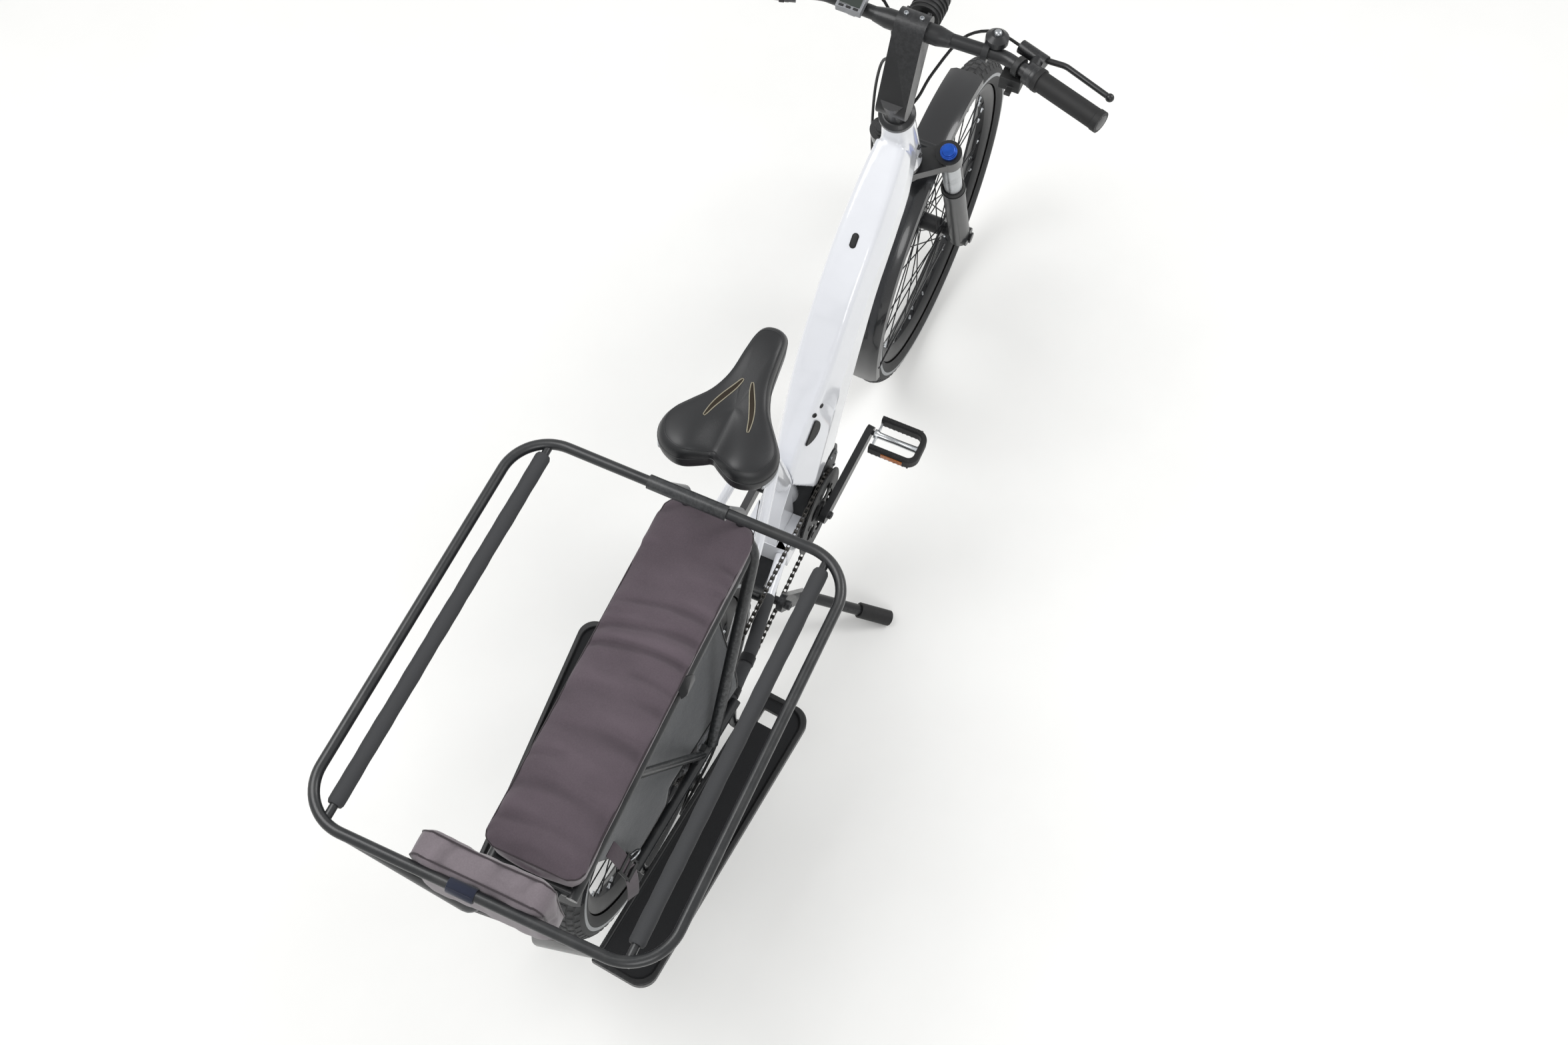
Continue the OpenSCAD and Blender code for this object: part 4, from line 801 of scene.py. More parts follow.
class Repeat:
    """A Geometry Nodes tree that sets copies of a small shape along a line."""

    def __init__(self, name: str, pivot: str = "AUTO") -> None:
        """Builds the tree.

        Args:
            name: Tree name.
            pivot: Axis about which a copy may turn to follow the line.
        """
        self.tree = bpy.data.node_groups.new(name, "GeometryNodeTree")
        made = self.tree.interface
        made.new_socket("Geometry", in_out="INPUT", socket_type="NodeSocketGeometry")
        made.new_socket("Geometry", in_out="OUTPUT", socket_type="NodeSocketGeometry")
        kinds = {"Shape": "NodeSocketObject", "Count": "NodeSocketInt", "Every": "NodeSocketInt"}
        kinds |= {"First": "NodeSocketInt", "Finish": "NodeSocketMaterial"}
        self.keys = {
            key: made.new_socket(key, in_out="INPUT", socket_type=kind).identifier
            for key, kind in kinds.items()
        }
        start = self.tree.nodes.new("NodeGroupInput")
        line = self._node("GeometryNodeMeshToCurve", {"Mesh": start.outputs["Geometry"]})
        even = self._node(
            "GeometryNodeResampleCurve", {"Curve": line.outputs[0], "Count": start.outputs["Count"]}
        )
        number = self._node(
            "FunctionNodeIntegerMath",
            {0: self._node("GeometryNodeInputIndex").outputs[0], 1: start.outputs["Every"]},
            operation="MODULO"
        )
        chosen = self._node(
            "FunctionNodeCompare", {2: number.outputs[0], 3: start.outputs["First"]}, data_type="INT",
            operation="EQUAL"
        )
        heading = self._node(
            "FunctionNodeAlignRotationToVector",
            {"Vector": self._node("GeometryNodeInputTangent").outputs[0]}, axis="X", pivot_axis=pivot
        )
        shape = self._node("GeometryNodeObjectInfo", {"Object": start.outputs["Shape"]})
        copies = self._node(
            "GeometryNodeInstanceOnPoints",
            {
                "Points": even.outputs[0], "Instance": shape.outputs["Geometry"],
                "Selection": chosen.outputs[0], "Rotation": heading.outputs[0]
            }
        )
        real = self._node("GeometryNodeRealizeInstances", {0: copies.outputs[0]})
        dressed = self._node(
            "GeometryNodeSetMaterial", {"Geometry": real.outputs[0], "Material": start.outputs["Finish"]}
        )
        end = self.tree.nodes.new("NodeGroupOutput")
        self.tree.links.new(dressed.outputs[0], end.inputs[0])

    def _node(self, kind: str, links: dict | None = None, **settings: str) -> bpy.types.Node:
        """Adds a node with its settings and links."""
        made = self.tree.nodes.new(kind)
        for key, value in settings.items():
            setattr(made, key, value)
        for key, source in (links or {}).items():
            self.tree.links.new(source, made.inputs[key])
        return made

    def lay(
        self, name: str, line: Sequence[Vector], shape: Shape, count: int, body: str, surface: Surface,
        closed: bool = False, every: int = 1, first: int = 0, nodes: Iterable[str] = (),
        degrees: float = 40.0
    ) -> bpy.types.Object:
        """Sets copies of a shape along a line and keeps them as a plain mesh.

        Args:
            name: Piece name.
            line: The line.
            shape: Shape about its own origin, with X along the line.
            count: Places on the line.
            body: CAD body that the piece rides on.
            surface: Finish.
            closed: Whether the line is a loop.
            every: Every how many places get a copy.
            first: Number of the first place that gets one.
            nodes: CAD nodes that the piece stands for.
            degrees: Sharpest angle that is shaded smooth.

        Returns:
            The piece.
        """
        source = add_object(name + "_source", shape.mesh(name + "_source", degrees))
        guide = bpy.data.meshes.new(name)
        links = [(i, i + 1) for i in range(len(line) - 1)] + ([(len(line) - 1, 0)] if closed else [])
        guide.from_pydata([tuple(p) for p in line], links, [])
        holder = add_object(name + "_line", guide)
        nodes_modifier = holder.modifiers.new("repeat", "NODES")
        nodes_modifier.node_group = self.tree
        values = {
            "Shape": source, "Count": count, "Every": every, "First": first,
            "Finish": material(surface.value)
        }
        for key, value in values.items():
            nodes_modifier[self.keys[key]] = value
        ready = holder.evaluated_get(bpy.context.evaluated_depsgraph_get())
        made = bpy.data.meshes.new_from_object(ready)
        made.name = name
        for used in (holder, source):
            bpy.data.objects.remove(used)
        smooth_by_angle(made, degrees)
        return settle(add_object(name, made), body, surface, nodes)


def circle(centre: Vector, radius: float, count: int, start: float = 0.0) -> list[Vector]:
    """Points on an upright circle about an axle across the bike."""
    turns = [start + 2 * math.pi * k / count for k in range(count)]
    return [centre + Vector((radius * math.cos(a), 0, radius * math.sin(a))) for a in turns]


@dataclass
class Studio:
    """Camera, floor and lights."""

    place: tuple[float, float, float] = (-1465.1, -579.5, 3200.1)
    yaw: float = 22.0
    pitch: float = 62.2
    roll: float = 2.7
    lens: float = 40.91
    floor_m: float = 14.0
    sky: float = 0.7
    lamps: tuple[tuple[tuple[float, float, float], float, float], ...] = (
        ((-0.6, 1.6, 3.6), 2.2, 54.0), ((1.6, -1.8, 3.0), 1.4, 28.0), ((-2.4, -1.4, 2.6), 1.4, 18.0),
    )

    def camera(self) -> None:
        """Sets the camera at the photograph's viewing angle."""
        yaw, pitch, roll = (math.radians(a) for a in (self.yaw, self.pitch, self.roll))
        ahead = Vector((math.cos(yaw) * math.cos(pitch), math.sin(yaw) * math.cos(pitch), -math.sin(pitch)))
        right = Vector((math.sin(yaw), -math.cos(yaw), 0))
        up = right.cross(ahead)
        across = right * math.cos(roll) + up * math.sin(roll)
        above = up * math.cos(roll) - right * math.sin(roll)
        data = bpy.data.cameras.new("camera")
        data.lens, data.sensor_width, data.sensor_fit = self.lens, 36.0, "HORIZONTAL"
        data.clip_end = 60.0
        camera = add_object("camera", data)
        turned = Matrix((across, above, -ahead)).transposed().to_4x4()
        camera.matrix_world = Matrix.Translation(at(*self.place)) @ turned
        bpy.context.scene.camera = camera

    def floor(self) -> None:
        """Lays the pale floor."""
        half = self.floor_m / 2
        shape = Shape()
        shape.add(
            [Vector((x, y, 0)) for x, y in ((-half, -half), (half, -half), (half, half), (-half, half))],
            [[0, 1, 2, 3]]
        )
        made = add_object("floor", shape.mesh("floor"))
        made.data.materials.append(
            material(Finish("pale_floor", "", "#f8f8f6", 0.75, tone=0.012, tone_mm=400))
        )

    def lights(self) -> None:
        """Hangs the soft lights."""
        scene = bpy.context.scene
        scene.view_settings.view_transform = "Standard"
        world = bpy.data.worlds.new("studio")
        world.use_nodes = True
        world.node_tree.nodes["Background"].inputs[0].default_value = (1.0, 1.0, 1.0, 1.0)
        world.node_tree.nodes["Background"].inputs[1].default_value = self.sky
        scene.world = world
        for i, (place, size, power) in enumerate(self.lamps):
            data = bpy.data.lights.new(f"soft_{i}", "AREA")
            data.shape, data.size, data.energy = "DISK", size, power
            lamp = add_object(f"soft_{i}", data)
            aim = (Vector((0, 0, 0.5)) - Vector(place)).to_track_quat("-Z", "Y")
            lamp.matrix_world = Matrix.Translation(place) @ aim.to_matrix().to_4x4()


def from_point(origin: Sequence[float], offset: Sequence[float]) -> Vector:
    """A place given from another place on the bike, both in millimetres."""
    return at(*(a + b for a, b in zip(origin, offset)))


@dataclass(frozen=True)
class Cord:
    """One length of hose or cable that starts and ends in the bike."""

    name: str
    body: str
    node: str
    origin: tuple[float, float, float]
    route: Points
    diameter_mm: float = 5.0

    def build(self) -> None:
        line = spline([from_point(self.origin, p) for p in self.route], 5)
        curve = bpy.data.curves.new(self.name, "CURVE")
        curve.dimensions, curve.use_fill_caps, curve.bevel_resolution = "3D", True, 4
        curve.bevel_depth = self.diameter_mm / 2 * MM
        run = curve.splines.new("POLY")
        run.points.add(len(line) - 1)
        for point, place in zip(run.points, line):
            point.co = (*place, 1.0)
        piece = settle(add_object(self.name, curve), self.body, Surface.RUBBER, [self.node])
        length = sum((b - a).length for a, b in zip(line, line[1:]))
        tuple(line[0])


CORDS = (
    Cord(
        "hose_right", "steering", "hoses", FRONT_AXLE,
        (
            (-238, -163, 810), (-217, -112, 798), (-207, -62, 750), (-249, -34, 700), (-282, -27, 679),
            (-286, -18, 657)
        ),
    ),
    Cord(
        "hose_left", "steering", "hoses", FRONT_AXLE,
        (
            (-238, 163, 810), (-215, 112, 800), (-203, 66, 754), (-247, 36, 702), (-282, 27, 679),
            (-286, 18, 657)
        ),
    ),
    Cord(
        "hose_front_brake", "steering", "hoses", FRONT_AXLE,
        (
            (-281, 5, 659), (-274, 9, 686), (-249, 36, 694), (-221, 60, 656), (-195, 76, 580),
            (-171, 86, 490), (-143, 93, 380), (-117, 94, 260), (-105, 86, 180), (-103, 62, 126),
            (-96, 39, 90), (-86.5, 36, 65)
        ),
    ),
    Cord(
        "gear_cable_loop", "frame", "gear_cable", REAR_AXLE,
        ((78, -84, 7), (26, -90, 15), (-29, -89, 11), (-74, -82, -18), (-62, -75, -56), (-18.5, -66, -78)),
    ),
)


@dataclass
class Wheel:
    """A wheel's tyre with tread and stripe, its nipples and disc bolts."""

    body: str
    tyre_node: str
    axle: tuple[float, float, float]
    disc_y: float
    tube_r: float = 311.0
    section_r: float = 27.6
    wall: float = 5.0
    blocks: int = 76
    lacing: float = 58.0
    bolt_circle_r: float = 18.5
    stripe_faces: tuple[int, ...] = (6, 7, 32, 33)

    def build(self) -> None:
        """Makes every piece of the wheel."""
        self.tyre()
        self.tread()
        self.nipples()
        self.disc_bolts()

    def tyre(self) -> None:
        """The casing, with a pale stripe on each side wall."""
        out = [math.radians(-134 + 268 * k / 40) for k in range(41)]
        back = [math.radians(130 - 260 * k / 14) for k in range(15)]
        inner = self.section_r - self.wall
        profile = [(self.tube_r + self.section_r * math.cos(a), self.section_r * math.sin(a)) for a in out]
        profile += [(self.tube_r + inner * math.cos(a), inner * math.sin(a)) for a in back]
        shape = Shape()
        shape.turned(profile, at(*self.axle), LEFT, 180, True)
        shape.kinds = [int(k % len(profile) in self.stripe_faces) for k in range(len(shape.kinds))]
        shape.piece(
            self.tyre_node + "_skin", self.body, Surface.TYRE, Surface.STRIPE, nodes=[self.tyre_node]
        )

    def tread(self) -> None:
        """Rows of blocks round the crown."""
        rows = (
            (0, 5.2, 9.0, 0.0), (25, 4.6, 8.6, 0.5), (-25, 4.6, 8.6, 0.5), (49, 4.8, 7.2, 0.0),
            (-49, 4.8, 7.2, 0.0)
        )
        for i, (lean, half_w, half_l, shift) in enumerate(rows):
            angle = math.radians(lean)
            block, low, high = Shape(), -1.6, 1.1
            foot = [(-half_l, -half_w), (half_l, -half_w), (half_l, half_w), (-half_l, half_w)]
            tilt = Matrix.Rotation(-angle, 4, "X")
            rings = [
                [tilt @ (Vector((x * s, y * s, z)) * MM) for x, y in foot]
                for s, z in ((1, low), (1, 0.5), (0.86, high))
            ]
            block.grid(rings)
            centre = from_point(self.axle, (0, self.section_r * math.sin(angle), 0))
            radius = (self.tube_r + self.section_r * math.cos(angle)) * MM
            line = circle(
                centre, radius, 4 * self.blocks, math.radians(-90 + 360 * shift / self.blocks)
            )[::-1]
            copies("Y").lay(
                f"{self.tyre_node}_tread_{i}", line, block, self.blocks, self.body, Surface.TYRE, True,
                degrees=30
            )

    def nipples(self) -> None:
        """The spokes' bright ends at the rim, in the lacing's four sets."""
        sets = (
            (2.5, 10 + self.lacing), (2.5, 30 - self.lacing), (-2.5, self.lacing), (-2.5, 20 - self.lacing)
        )
        for i, (y, start) in enumerate(sets):
            nipple = Shape()
            rows = ((0.0, -9.0), (1.7, -9.0), (1.9, -3.0), (2.6, -2.0), (2.9, 0.5), (0.0, 0.5))
            nipple.turned(rows, Vector(), UP, 10)
            line = circle(from_point(self.axle, (0, y, 0)), RIM_IN_R * MM, 72, -math.radians(start))[::-1]
            copies("Y").lay(f"{self.body}_nipples_{i}", line, nipple, 9, self.body, Surface.STEEL, True)

    def disc_bolts(self) -> None:
        """Six bolts that hold the brake disc."""
        bolt = Shape()
        rows = ((0.0, 1.2), (1.6, 1.2), (1.8, 3.0), (4.0, 2.8), (4.4, 0.0), (0.0, 0.0))
        bolt.turned(rows, Vector((0, 0.9 * MM, 0)), LEFT, 12)
        line = circle(from_point(self.axle, (0, self.disc_y, 0)), self.bolt_circle_r * MM, 60)[::-1]
        copies("Y").lay(f"{self.body}_disc_bolts", line, bolt, 6, self.body, Surface.BLACK_METAL, True)


@dataclass
class Chain:
    """The chain's links round the chainring, the guide wheels and the sprocket."""

    wheels: tuple[tuple[float, float, float, int], ...] = (
        (0, 305, 78, -1), (-526, 188, 21, -1), (-562, 262, 21, 1), (-556, 340, 38, -1),
    )
    line_y: float = -50.0
    pitch: float = 12.7
    head_r: float = 4.1
    waist_r: float = 2.8

    def line(self) -> list[Vector]:
        """The middle line of the loop, closely spaced."""
        n, out = len(self.wheels), []
        runs = []
        for i in range(n):
            (ax, az, ar, a_turn), (bx, bz, br, b_turn) = self.wheels[i], self.wheels[(i + 1) % n]
            span = math.hypot(bx - ax, bz - az)
            runs.append(math.atan2(bz - az, bx - ax) + math.asin((a_turn * ar - b_turn * br) / span))
        for i, (x, z, r, turn) in enumerate(self.wheels):
            first, last = runs[i - 1], runs[i]
            swing = turn * ((turn * (last - first)) % (2 * math.pi))
            steps = max(6, round(abs(swing) * r / 3))
            for k in range(steps + 1):
                h = first + swing * k / steps
                out.append(at(x + turn * r * math.sin(h), self.line_y, z - turn * r * math.cos(h)))
        return out

    def build(self) -> None:
        """Lays inner and outer links in turn."""
        line = self.line()
        total = sum((a - b).length for a, b in zip(line, line[1:] + line[:1]))
        count = 2 * round(total / (2 * self.pitch * MM))
        for name, first, side in (("outer", 0, 3.0), ("inner", 1, 1.9)):
            link = Shape()
            for y in (-side, side):
                self.plate(link, y)
            for x in (-self.pitch / 2, self.pitch / 2):
                profile = ((0.0, -side - 1.0), (1.9, -side - 1.0), (1.9, side + 1.0), (0.0, side + 1.0))
                if name == "inner":
                    profile = ((0.0, -1.7), (3.7, -1.7), (3.7, 1.7), (0.0, 1.7))
                link.turned(profile, Vector((x * MM, 0, 0)), LEFT, 12)
            nodes = ["chain"] if first == 0 else []
            copies("Y").lay(
                f"chain_{name}_links", line, link, count, "frame", Surface.CHAIN, True, 2, first, nodes, 30
            )

    def plate(self, link: Shape, y: float) -> None:
        """Adds one waisted side plate to a link."""
        half, outline = self.pitch / 2, []
        for k in range(28):
            a = 2 * math.pi * k / 28
            end = half if math.cos(a) >= 0 else -half
            headed = abs(math.cos(a)) > 0.25
            bulge, reach = (self.head_r, 1) if headed else (self.waist_r, 0.25)
            outline.append((end * reach + bulge * math.cos(a), bulge * math.sin(a)))
        link.grid([[Vector((x, y + t, z)) * MM for x, z in outline] for t in (-0.5, 0.5)])


_trees: dict[str, Repeat] = {}


def copies(pivot: str) -> Repeat:
    """The one tree for copies that turn about an axis to follow their line."""
    if pivot not in _trees:
        _trees[pivot] = Repeat("copies_turned_" + pivot.lower(), pivot)
    return _trees[pivot]


def surface_of(piece: bpy.types.Object) -> BVHTree:
    """A finished piece as a tree of faces, for finding places on it."""
    return BVHTree.FromObject(piece, bpy.context.evaluated_depsgraph_get())


def node_surface(node: str) -> BVHTree:
    """A CAD node as a tree of faces."""
    mesh = _frame["nodes"][node].data
    return BVHTree.FromPolygons([v.co for v in mesh.vertices], [f.vertices[:] for f in mesh.polygons])


def ribbon(
    shape: Shape, line: Sequence[Vector], across: Vector, width_mm: float, thick_mm: float = 1.4
) -> None:
    """Adds a flat strap along a line.

    Args:
        shape: Shape that gets it.
        line: Middle of the strap.
        across: Direction of its width.
        width_mm: Width.
        thick_mm: Thickness.
    """
    rows, last = [], len(line) - 1
    for i, p in enumerate(line):
        ahead = (line[min(i + 1, last)] - line[max(i - 1, 0)]).normalized()
        side = (across - ahead * across.dot(ahead)).normalized() * width_mm / 2 * MM
        up = ahead.cross(side).normalized() * thick_mm / 2 * MM
        soft = side * 0.94
        rows.append([p - side, p - soft - up, p + soft - up, p + side, p + soft + up, p - soft + up])
    shape.grid(rows)


def loop_round(
    centre: Vector, axis: Vector, radius_mm: float, start: float, sweep: float, steps: int = 28
) -> list[Vector]:
    """Points of an arc about an axis, in degrees from straight up."""
    side = axis.cross(UP).normalized()
    up = side.cross(axis).normalized()
    turns = [math.radians(start + sweep * k / steps) for k in range(steps + 1)]
    return [centre + (up * math.cos(a) + side * math.sin(a)) * radius_mm * MM for a in turns]


def eased(share: float) -> float:
    """A soft step from 0 to 1."""
    t = min(1.0, max(0.0, share))
    return t * t * (3 - 2 * t)


@dataclass(frozen=True)
class Crease:
    """A pressed line across a pad, in shares of its length from the front."""

    left: float
    right: float
    depth_mm: float
    width_mm: float
    reach: tuple[float, float] = (-1.1, 1.1)


@dataclass
class Pad:
    """A sewn, stuffed pad, swollen by simulation from a block a little smaller than its CAD solid."""

    node: str
    creases: tuple[Crease, ...] = ()
    long_axis: int = 0
    flat_axis: int = 2
    flat_low: bool = True
    shrink: tuple[float, float, float] = (-6.0, -1.0, 1.0)
    grow: tuple[float, float, float] = (0.0, 0.0, 0.0)
    lip_mm: float = 0.0
    tuck: float = 0.0
    ripple: float = 1.0
    surface: Surface = Surface.CLOTH
    voxel_mm: float = 5.0
    cap_mm: float = 5.0
    fill: float = 0.7
    pressure: float = 4.0
    frames: int = 20
    corner_mm: float = 26.0
    piping_r: float = 1.5

    def build(self) -> bpy.types.Object:
        """Makes the pad.

        Returns:
            The finished pad.
        """
        piece = self._start()
        self._swell(piece)
        self._press(piece)
        soft = piece.modifiers.new("soft", "SUBSURF")
        soft.levels = soft.render_levels = 1
        piece.data.shade_smooth()
        settle(piece, "frame", self.surface, [self.node])
        return piece

    def box(self) -> tuple[Vector, Vector]:
        """The pad's own box: the CAD solid's, less the room to swell and with its overhang."""
        low, high = (Vector(c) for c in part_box(self.node))
        inset = Vector(self.shrink) * MM
        if self.flat_low:
            low[self.flat_axis] -= inset[self.flat_axis]
        return low + inset, high - inset + Vector(self.grow) * MM

    def lip(self, x: float, z: float) -> float:
        """How far the front edge reaches over the carrier's front hoop."""
        high = self.box()[1]
        ahead, above = (x - high.x) / (60 * MM) + 1, (z - high.z) / (12 * MM) + 2.8
        return self.lip_mm * MM * eased(ahead) * eased(above)

    def _start(self) -> bpy.types.Object:
        """The CAD block, a little smaller and evenly meshed."""
        mesh = _frame["nodes"][self.node].data.copy()
        mesh.name = self.node + "_pad"
        low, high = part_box(self.node)
        new_low, new_high = self.box()
        for vertex in mesh.vertices:
            for i in range(3):
                share = (vertex.co[i] - low[i]) / (high[i] - low[i])
                vertex.co[i] = new_low[i] + share * (new_high[i] - new_low[i])
        if mesh.has_custom_normals:
            mesh.attributes.remove(mesh.attributes["custom_normal"])
        piece = add_object(self.node + "_pad", mesh)
        even = piece.modifiers.new("even", "REMESH")
        even.mode, even.voxel_size = "VOXEL", self.voxel_mm * MM
        return self._applied(piece)

    @staticmethod
    def _applied(piece: bpy.types.Object) -> bpy.types.Object:
        """Turns a piece's modifiers into plain mesh."""
        ready = piece.evaluated_get(bpy.context.evaluated_depsgraph_get())
        made = bpy.data.meshes.new_from_object(ready)
        made.name = piece.name
        piece.modifiers.clear()
        piece.data = made
        return piece

    def _swell(self, piece: bpy.types.Object) -> None:
        """Blows the cloth up and keeps what rests on the bike flat."""
        rest = [v.co.copy() for v in piece.data.vertices]
        cloth = piece.modifiers.new("swell", "CLOTH")
        cloth.settings.use_pressure = True
        cloth.settings.uniform_pressure_force = self.pressure
        cloth.settings.quality = 6
        cloth.settings.mass = 0.25
        cloth.settings.effector_weights.gravity = 0.0
        cloth.point_cache.frame_start, cloth.point_cache.frame_end = 1, self.frames
        scene = bpy.context.scene
        for frame in range(1, self.frames + 1):
            scene.frame_set(frame)
        ready = piece.evaluated_get(bpy.context.evaluated_depsgraph_get())
        moved = [v.co.copy() for v in ready.data.vertices]
        piece.modifiers.clear()
        scene.frame_set(1)
        floor = min(p[self.flat_axis] for p in rest)
        for vertex, before, after in zip(piece.data.vertices, rest, moved):
            shift = after - before
            if shift.length > self.cap_mm * MM:
                shift *= self.cap_mm * MM / shift.length
            vertex.co = before + shift
            if self.flat_low:
                vertex.co[self.flat_axis] = max(vertex.co[self.flat_axis], floor)

    def _press(self, piece: bpy.types.Object) -> None:
        """Presses the creases and the soft waves between them into the cloth, and stores their depth on the
        mesh for the painted crease shade and ridge highlight.
        """
        low, high = self.box()
        axis, wide = self.long_axis, 1 - self.long_axis
        length, half = high[axis] - low[axis], (high[wide] - low[wide]) / 2
        middle = (high[wide] + low[wide]) / 2
        waves = [(1.1, 5.3, 0.4, 1.3), (0.8, 9.1, 1.7, -2.1), (0.4, 15.7, 3.1, 3.7)]
        normals = [v.normal.copy() for v in piece.data.vertices]
        fold = piece.data.attributes.new("fold", "FLOAT", "POINT")
        for vertex, normal in zip(piece.data.vertices, normals):
            u = (high[axis] - vertex.co[axis]) / length
            v = (vertex.co[wide] - middle) / half
            lift = self.ripple * sum(
                a * math.sin(2 * math.pi * (f * u + p) + s * v)
                for a, f, p, s in waves
            )
            for crease in self.creases:
                bow = 0.018 * (1 - v * v)
                line = crease.right + (crease.left - crease.right) * (v + 1) / 2 - bow
                near = (u - line) * length / (crease.width_mm * MM)
                lo, hi = crease.reach
                window = max(0.0, min(1.0, (v - lo) * 4)) * max(0.0, min(1.0, (hi - v) * 4))
                lift -= CREASE_GAIN * crease.depth_mm * window * (
                    math.exp(-near * near) - 0.45 * math.exp(-((near + 2.0) / 1.6) ** 2)
                )
            facing = max(normal.z, 0.0 if self.flat_low else abs(normal[self.flat_axis]))
            lift *= eased((facing - 0.3) / 0.5)
            # Fold depth kept for the cloth's painted shade in the creases and painted highlight on the
            # ridges.
            fold.data[vertex.index].value = min(1.0, max(-1.0, lift / 5))
            vertex.co += normal * lift * MM
            if self.flat_low:
                drop = eased((high.z - CUSHION_TILT * (high.x - vertex.co.x) - vertex.co.z) / (42 * MM))
                vertex.co[wide] = middle + (vertex.co[wide] - middle) * (1 - self.tuck * drop)
                vertex.co.x += self.lip(vertex.co.x, vertex.co.z)

    def trim(self, piece: bpy.types.Object, inset_mm: float, top: bool = True) -> None:
        """Lays piping along the pad's edge.

        Args:
            piece: The finished pad.
            inset_mm: Distance of the seam inside the CAD solid's outline.
            top: Whether it is the upper edge.
        """
        tree = surface_of(piece)
        line = [tree.find_nearest(p)[0] for p in self.edge(inset_mm, top)]
        for _ in range(8):
            line = [(a + 2 * b + c) / 4 for a, b, c in zip(line[-1:] + line, line, line[1:] + line[:1])]
        shape = Shape()
        shape.tube(line, self.piping_r * MM, 8, True)
        shape.piece(f"{self.node}_piping_{'top' if top else 'low'}", "frame", Surface.PIPING)

    def edge(self, inset_mm: float, top: bool) -> list[Vector]:
        """The rounded outline of the pad's upper or lower edge."""
        low, high = self.box()
        a, b, c = self.long_axis, 1 - self.long_axis, self.flat_axis
        if self.flat_axis == 0:
            a, b = 2, 1
        radius, out = self.corner_mm * MM, []
        inset = inset_mm * MM
        for sa, sb, start in ((1, 1, 0), (-1, 1, 90), (-1, -1, 180), (1, -1, 270)):
            for k in range(13):
                turn = math.radians(start + 90 * k / 12)
                p = Vector()
                middle_a = (high[a] if sa > 0 else low[a]) - sa * (radius + inset)
                middle_b = (high[b] if sb > 0 else low[b]) - sb * (radius + inset)
                p[a], p[b] = middle_a + radius * math.cos(turn), middle_b + radius * math.sin(turn)
                p[c] = self._level(p, low, high, top)
                if top and self.lip_mm:
                    p.x += self.lip(p.x, p.z)
                out.append(p)
        corners = out + out[:1]
        return [p.lerp(q, k / 6) for p, q in zip(corners, corners[1:]) for k in range(6)]

    def _level(self, p: Vector, low: Vector, high: Vector, top: bool) -> float:
        """Height of the edge; a deck that slopes carries its pad's edge with it."""
        if self.flat_axis == 0:
            return low.x if top else high.x
        share = (p.x - low.x) / (high.x - low.x)
        rise = CUSHION_TILT * (high.x - low.x)
        return (high.z - rise + rise * share) if top else (low.z + rise * share)


SEAT_CREASES = (
    Crease(0.045, 0.03, 1.4, 5, (0.55, 1.2)), Crease(0.127, 0.11, 1.6, 5, (0.5, 1.2)),
    Crease(0.12, 0.107, 1.6, 5, (-1.2, -0.5)), Crease(0.16, 0.143, 1.3, 5, (-1.2, -0.55)),
    Crease(0.19, 0.177, 1.2, 5, (-1.2, -0.6)), Crease(0.30, 0.254, 2.6, 7),
    Crease(0.33, 0.30, 1.6, 8, (-0.4, 1.2)), Crease(0.374, 0.32, 2.4, 7), Crease(0.425, 0.392, 3.6, 6),
    Crease(0.49, 0.47, 1.8, 7, (-1.2, 0.1)), Crease(0.56, 0.53, 1.5, 12), Crease(0.66, 0.65, 1.4, 12),
    Crease(0.75, 0.72, 1.8, 7, (0.2, 1.2)), Crease(0.83, 0.82, 1.4, 11), Crease(0.92, 0.92, 1.6, 8),
)
BACK_CREASES = (
    Crease(0.3, 0.24, 1.6, 7), Crease(0.62, 0.58, 1.2, 9), Crease(0.85, 0.8, 1.4, 6, (-0.6, 1.2)),
)


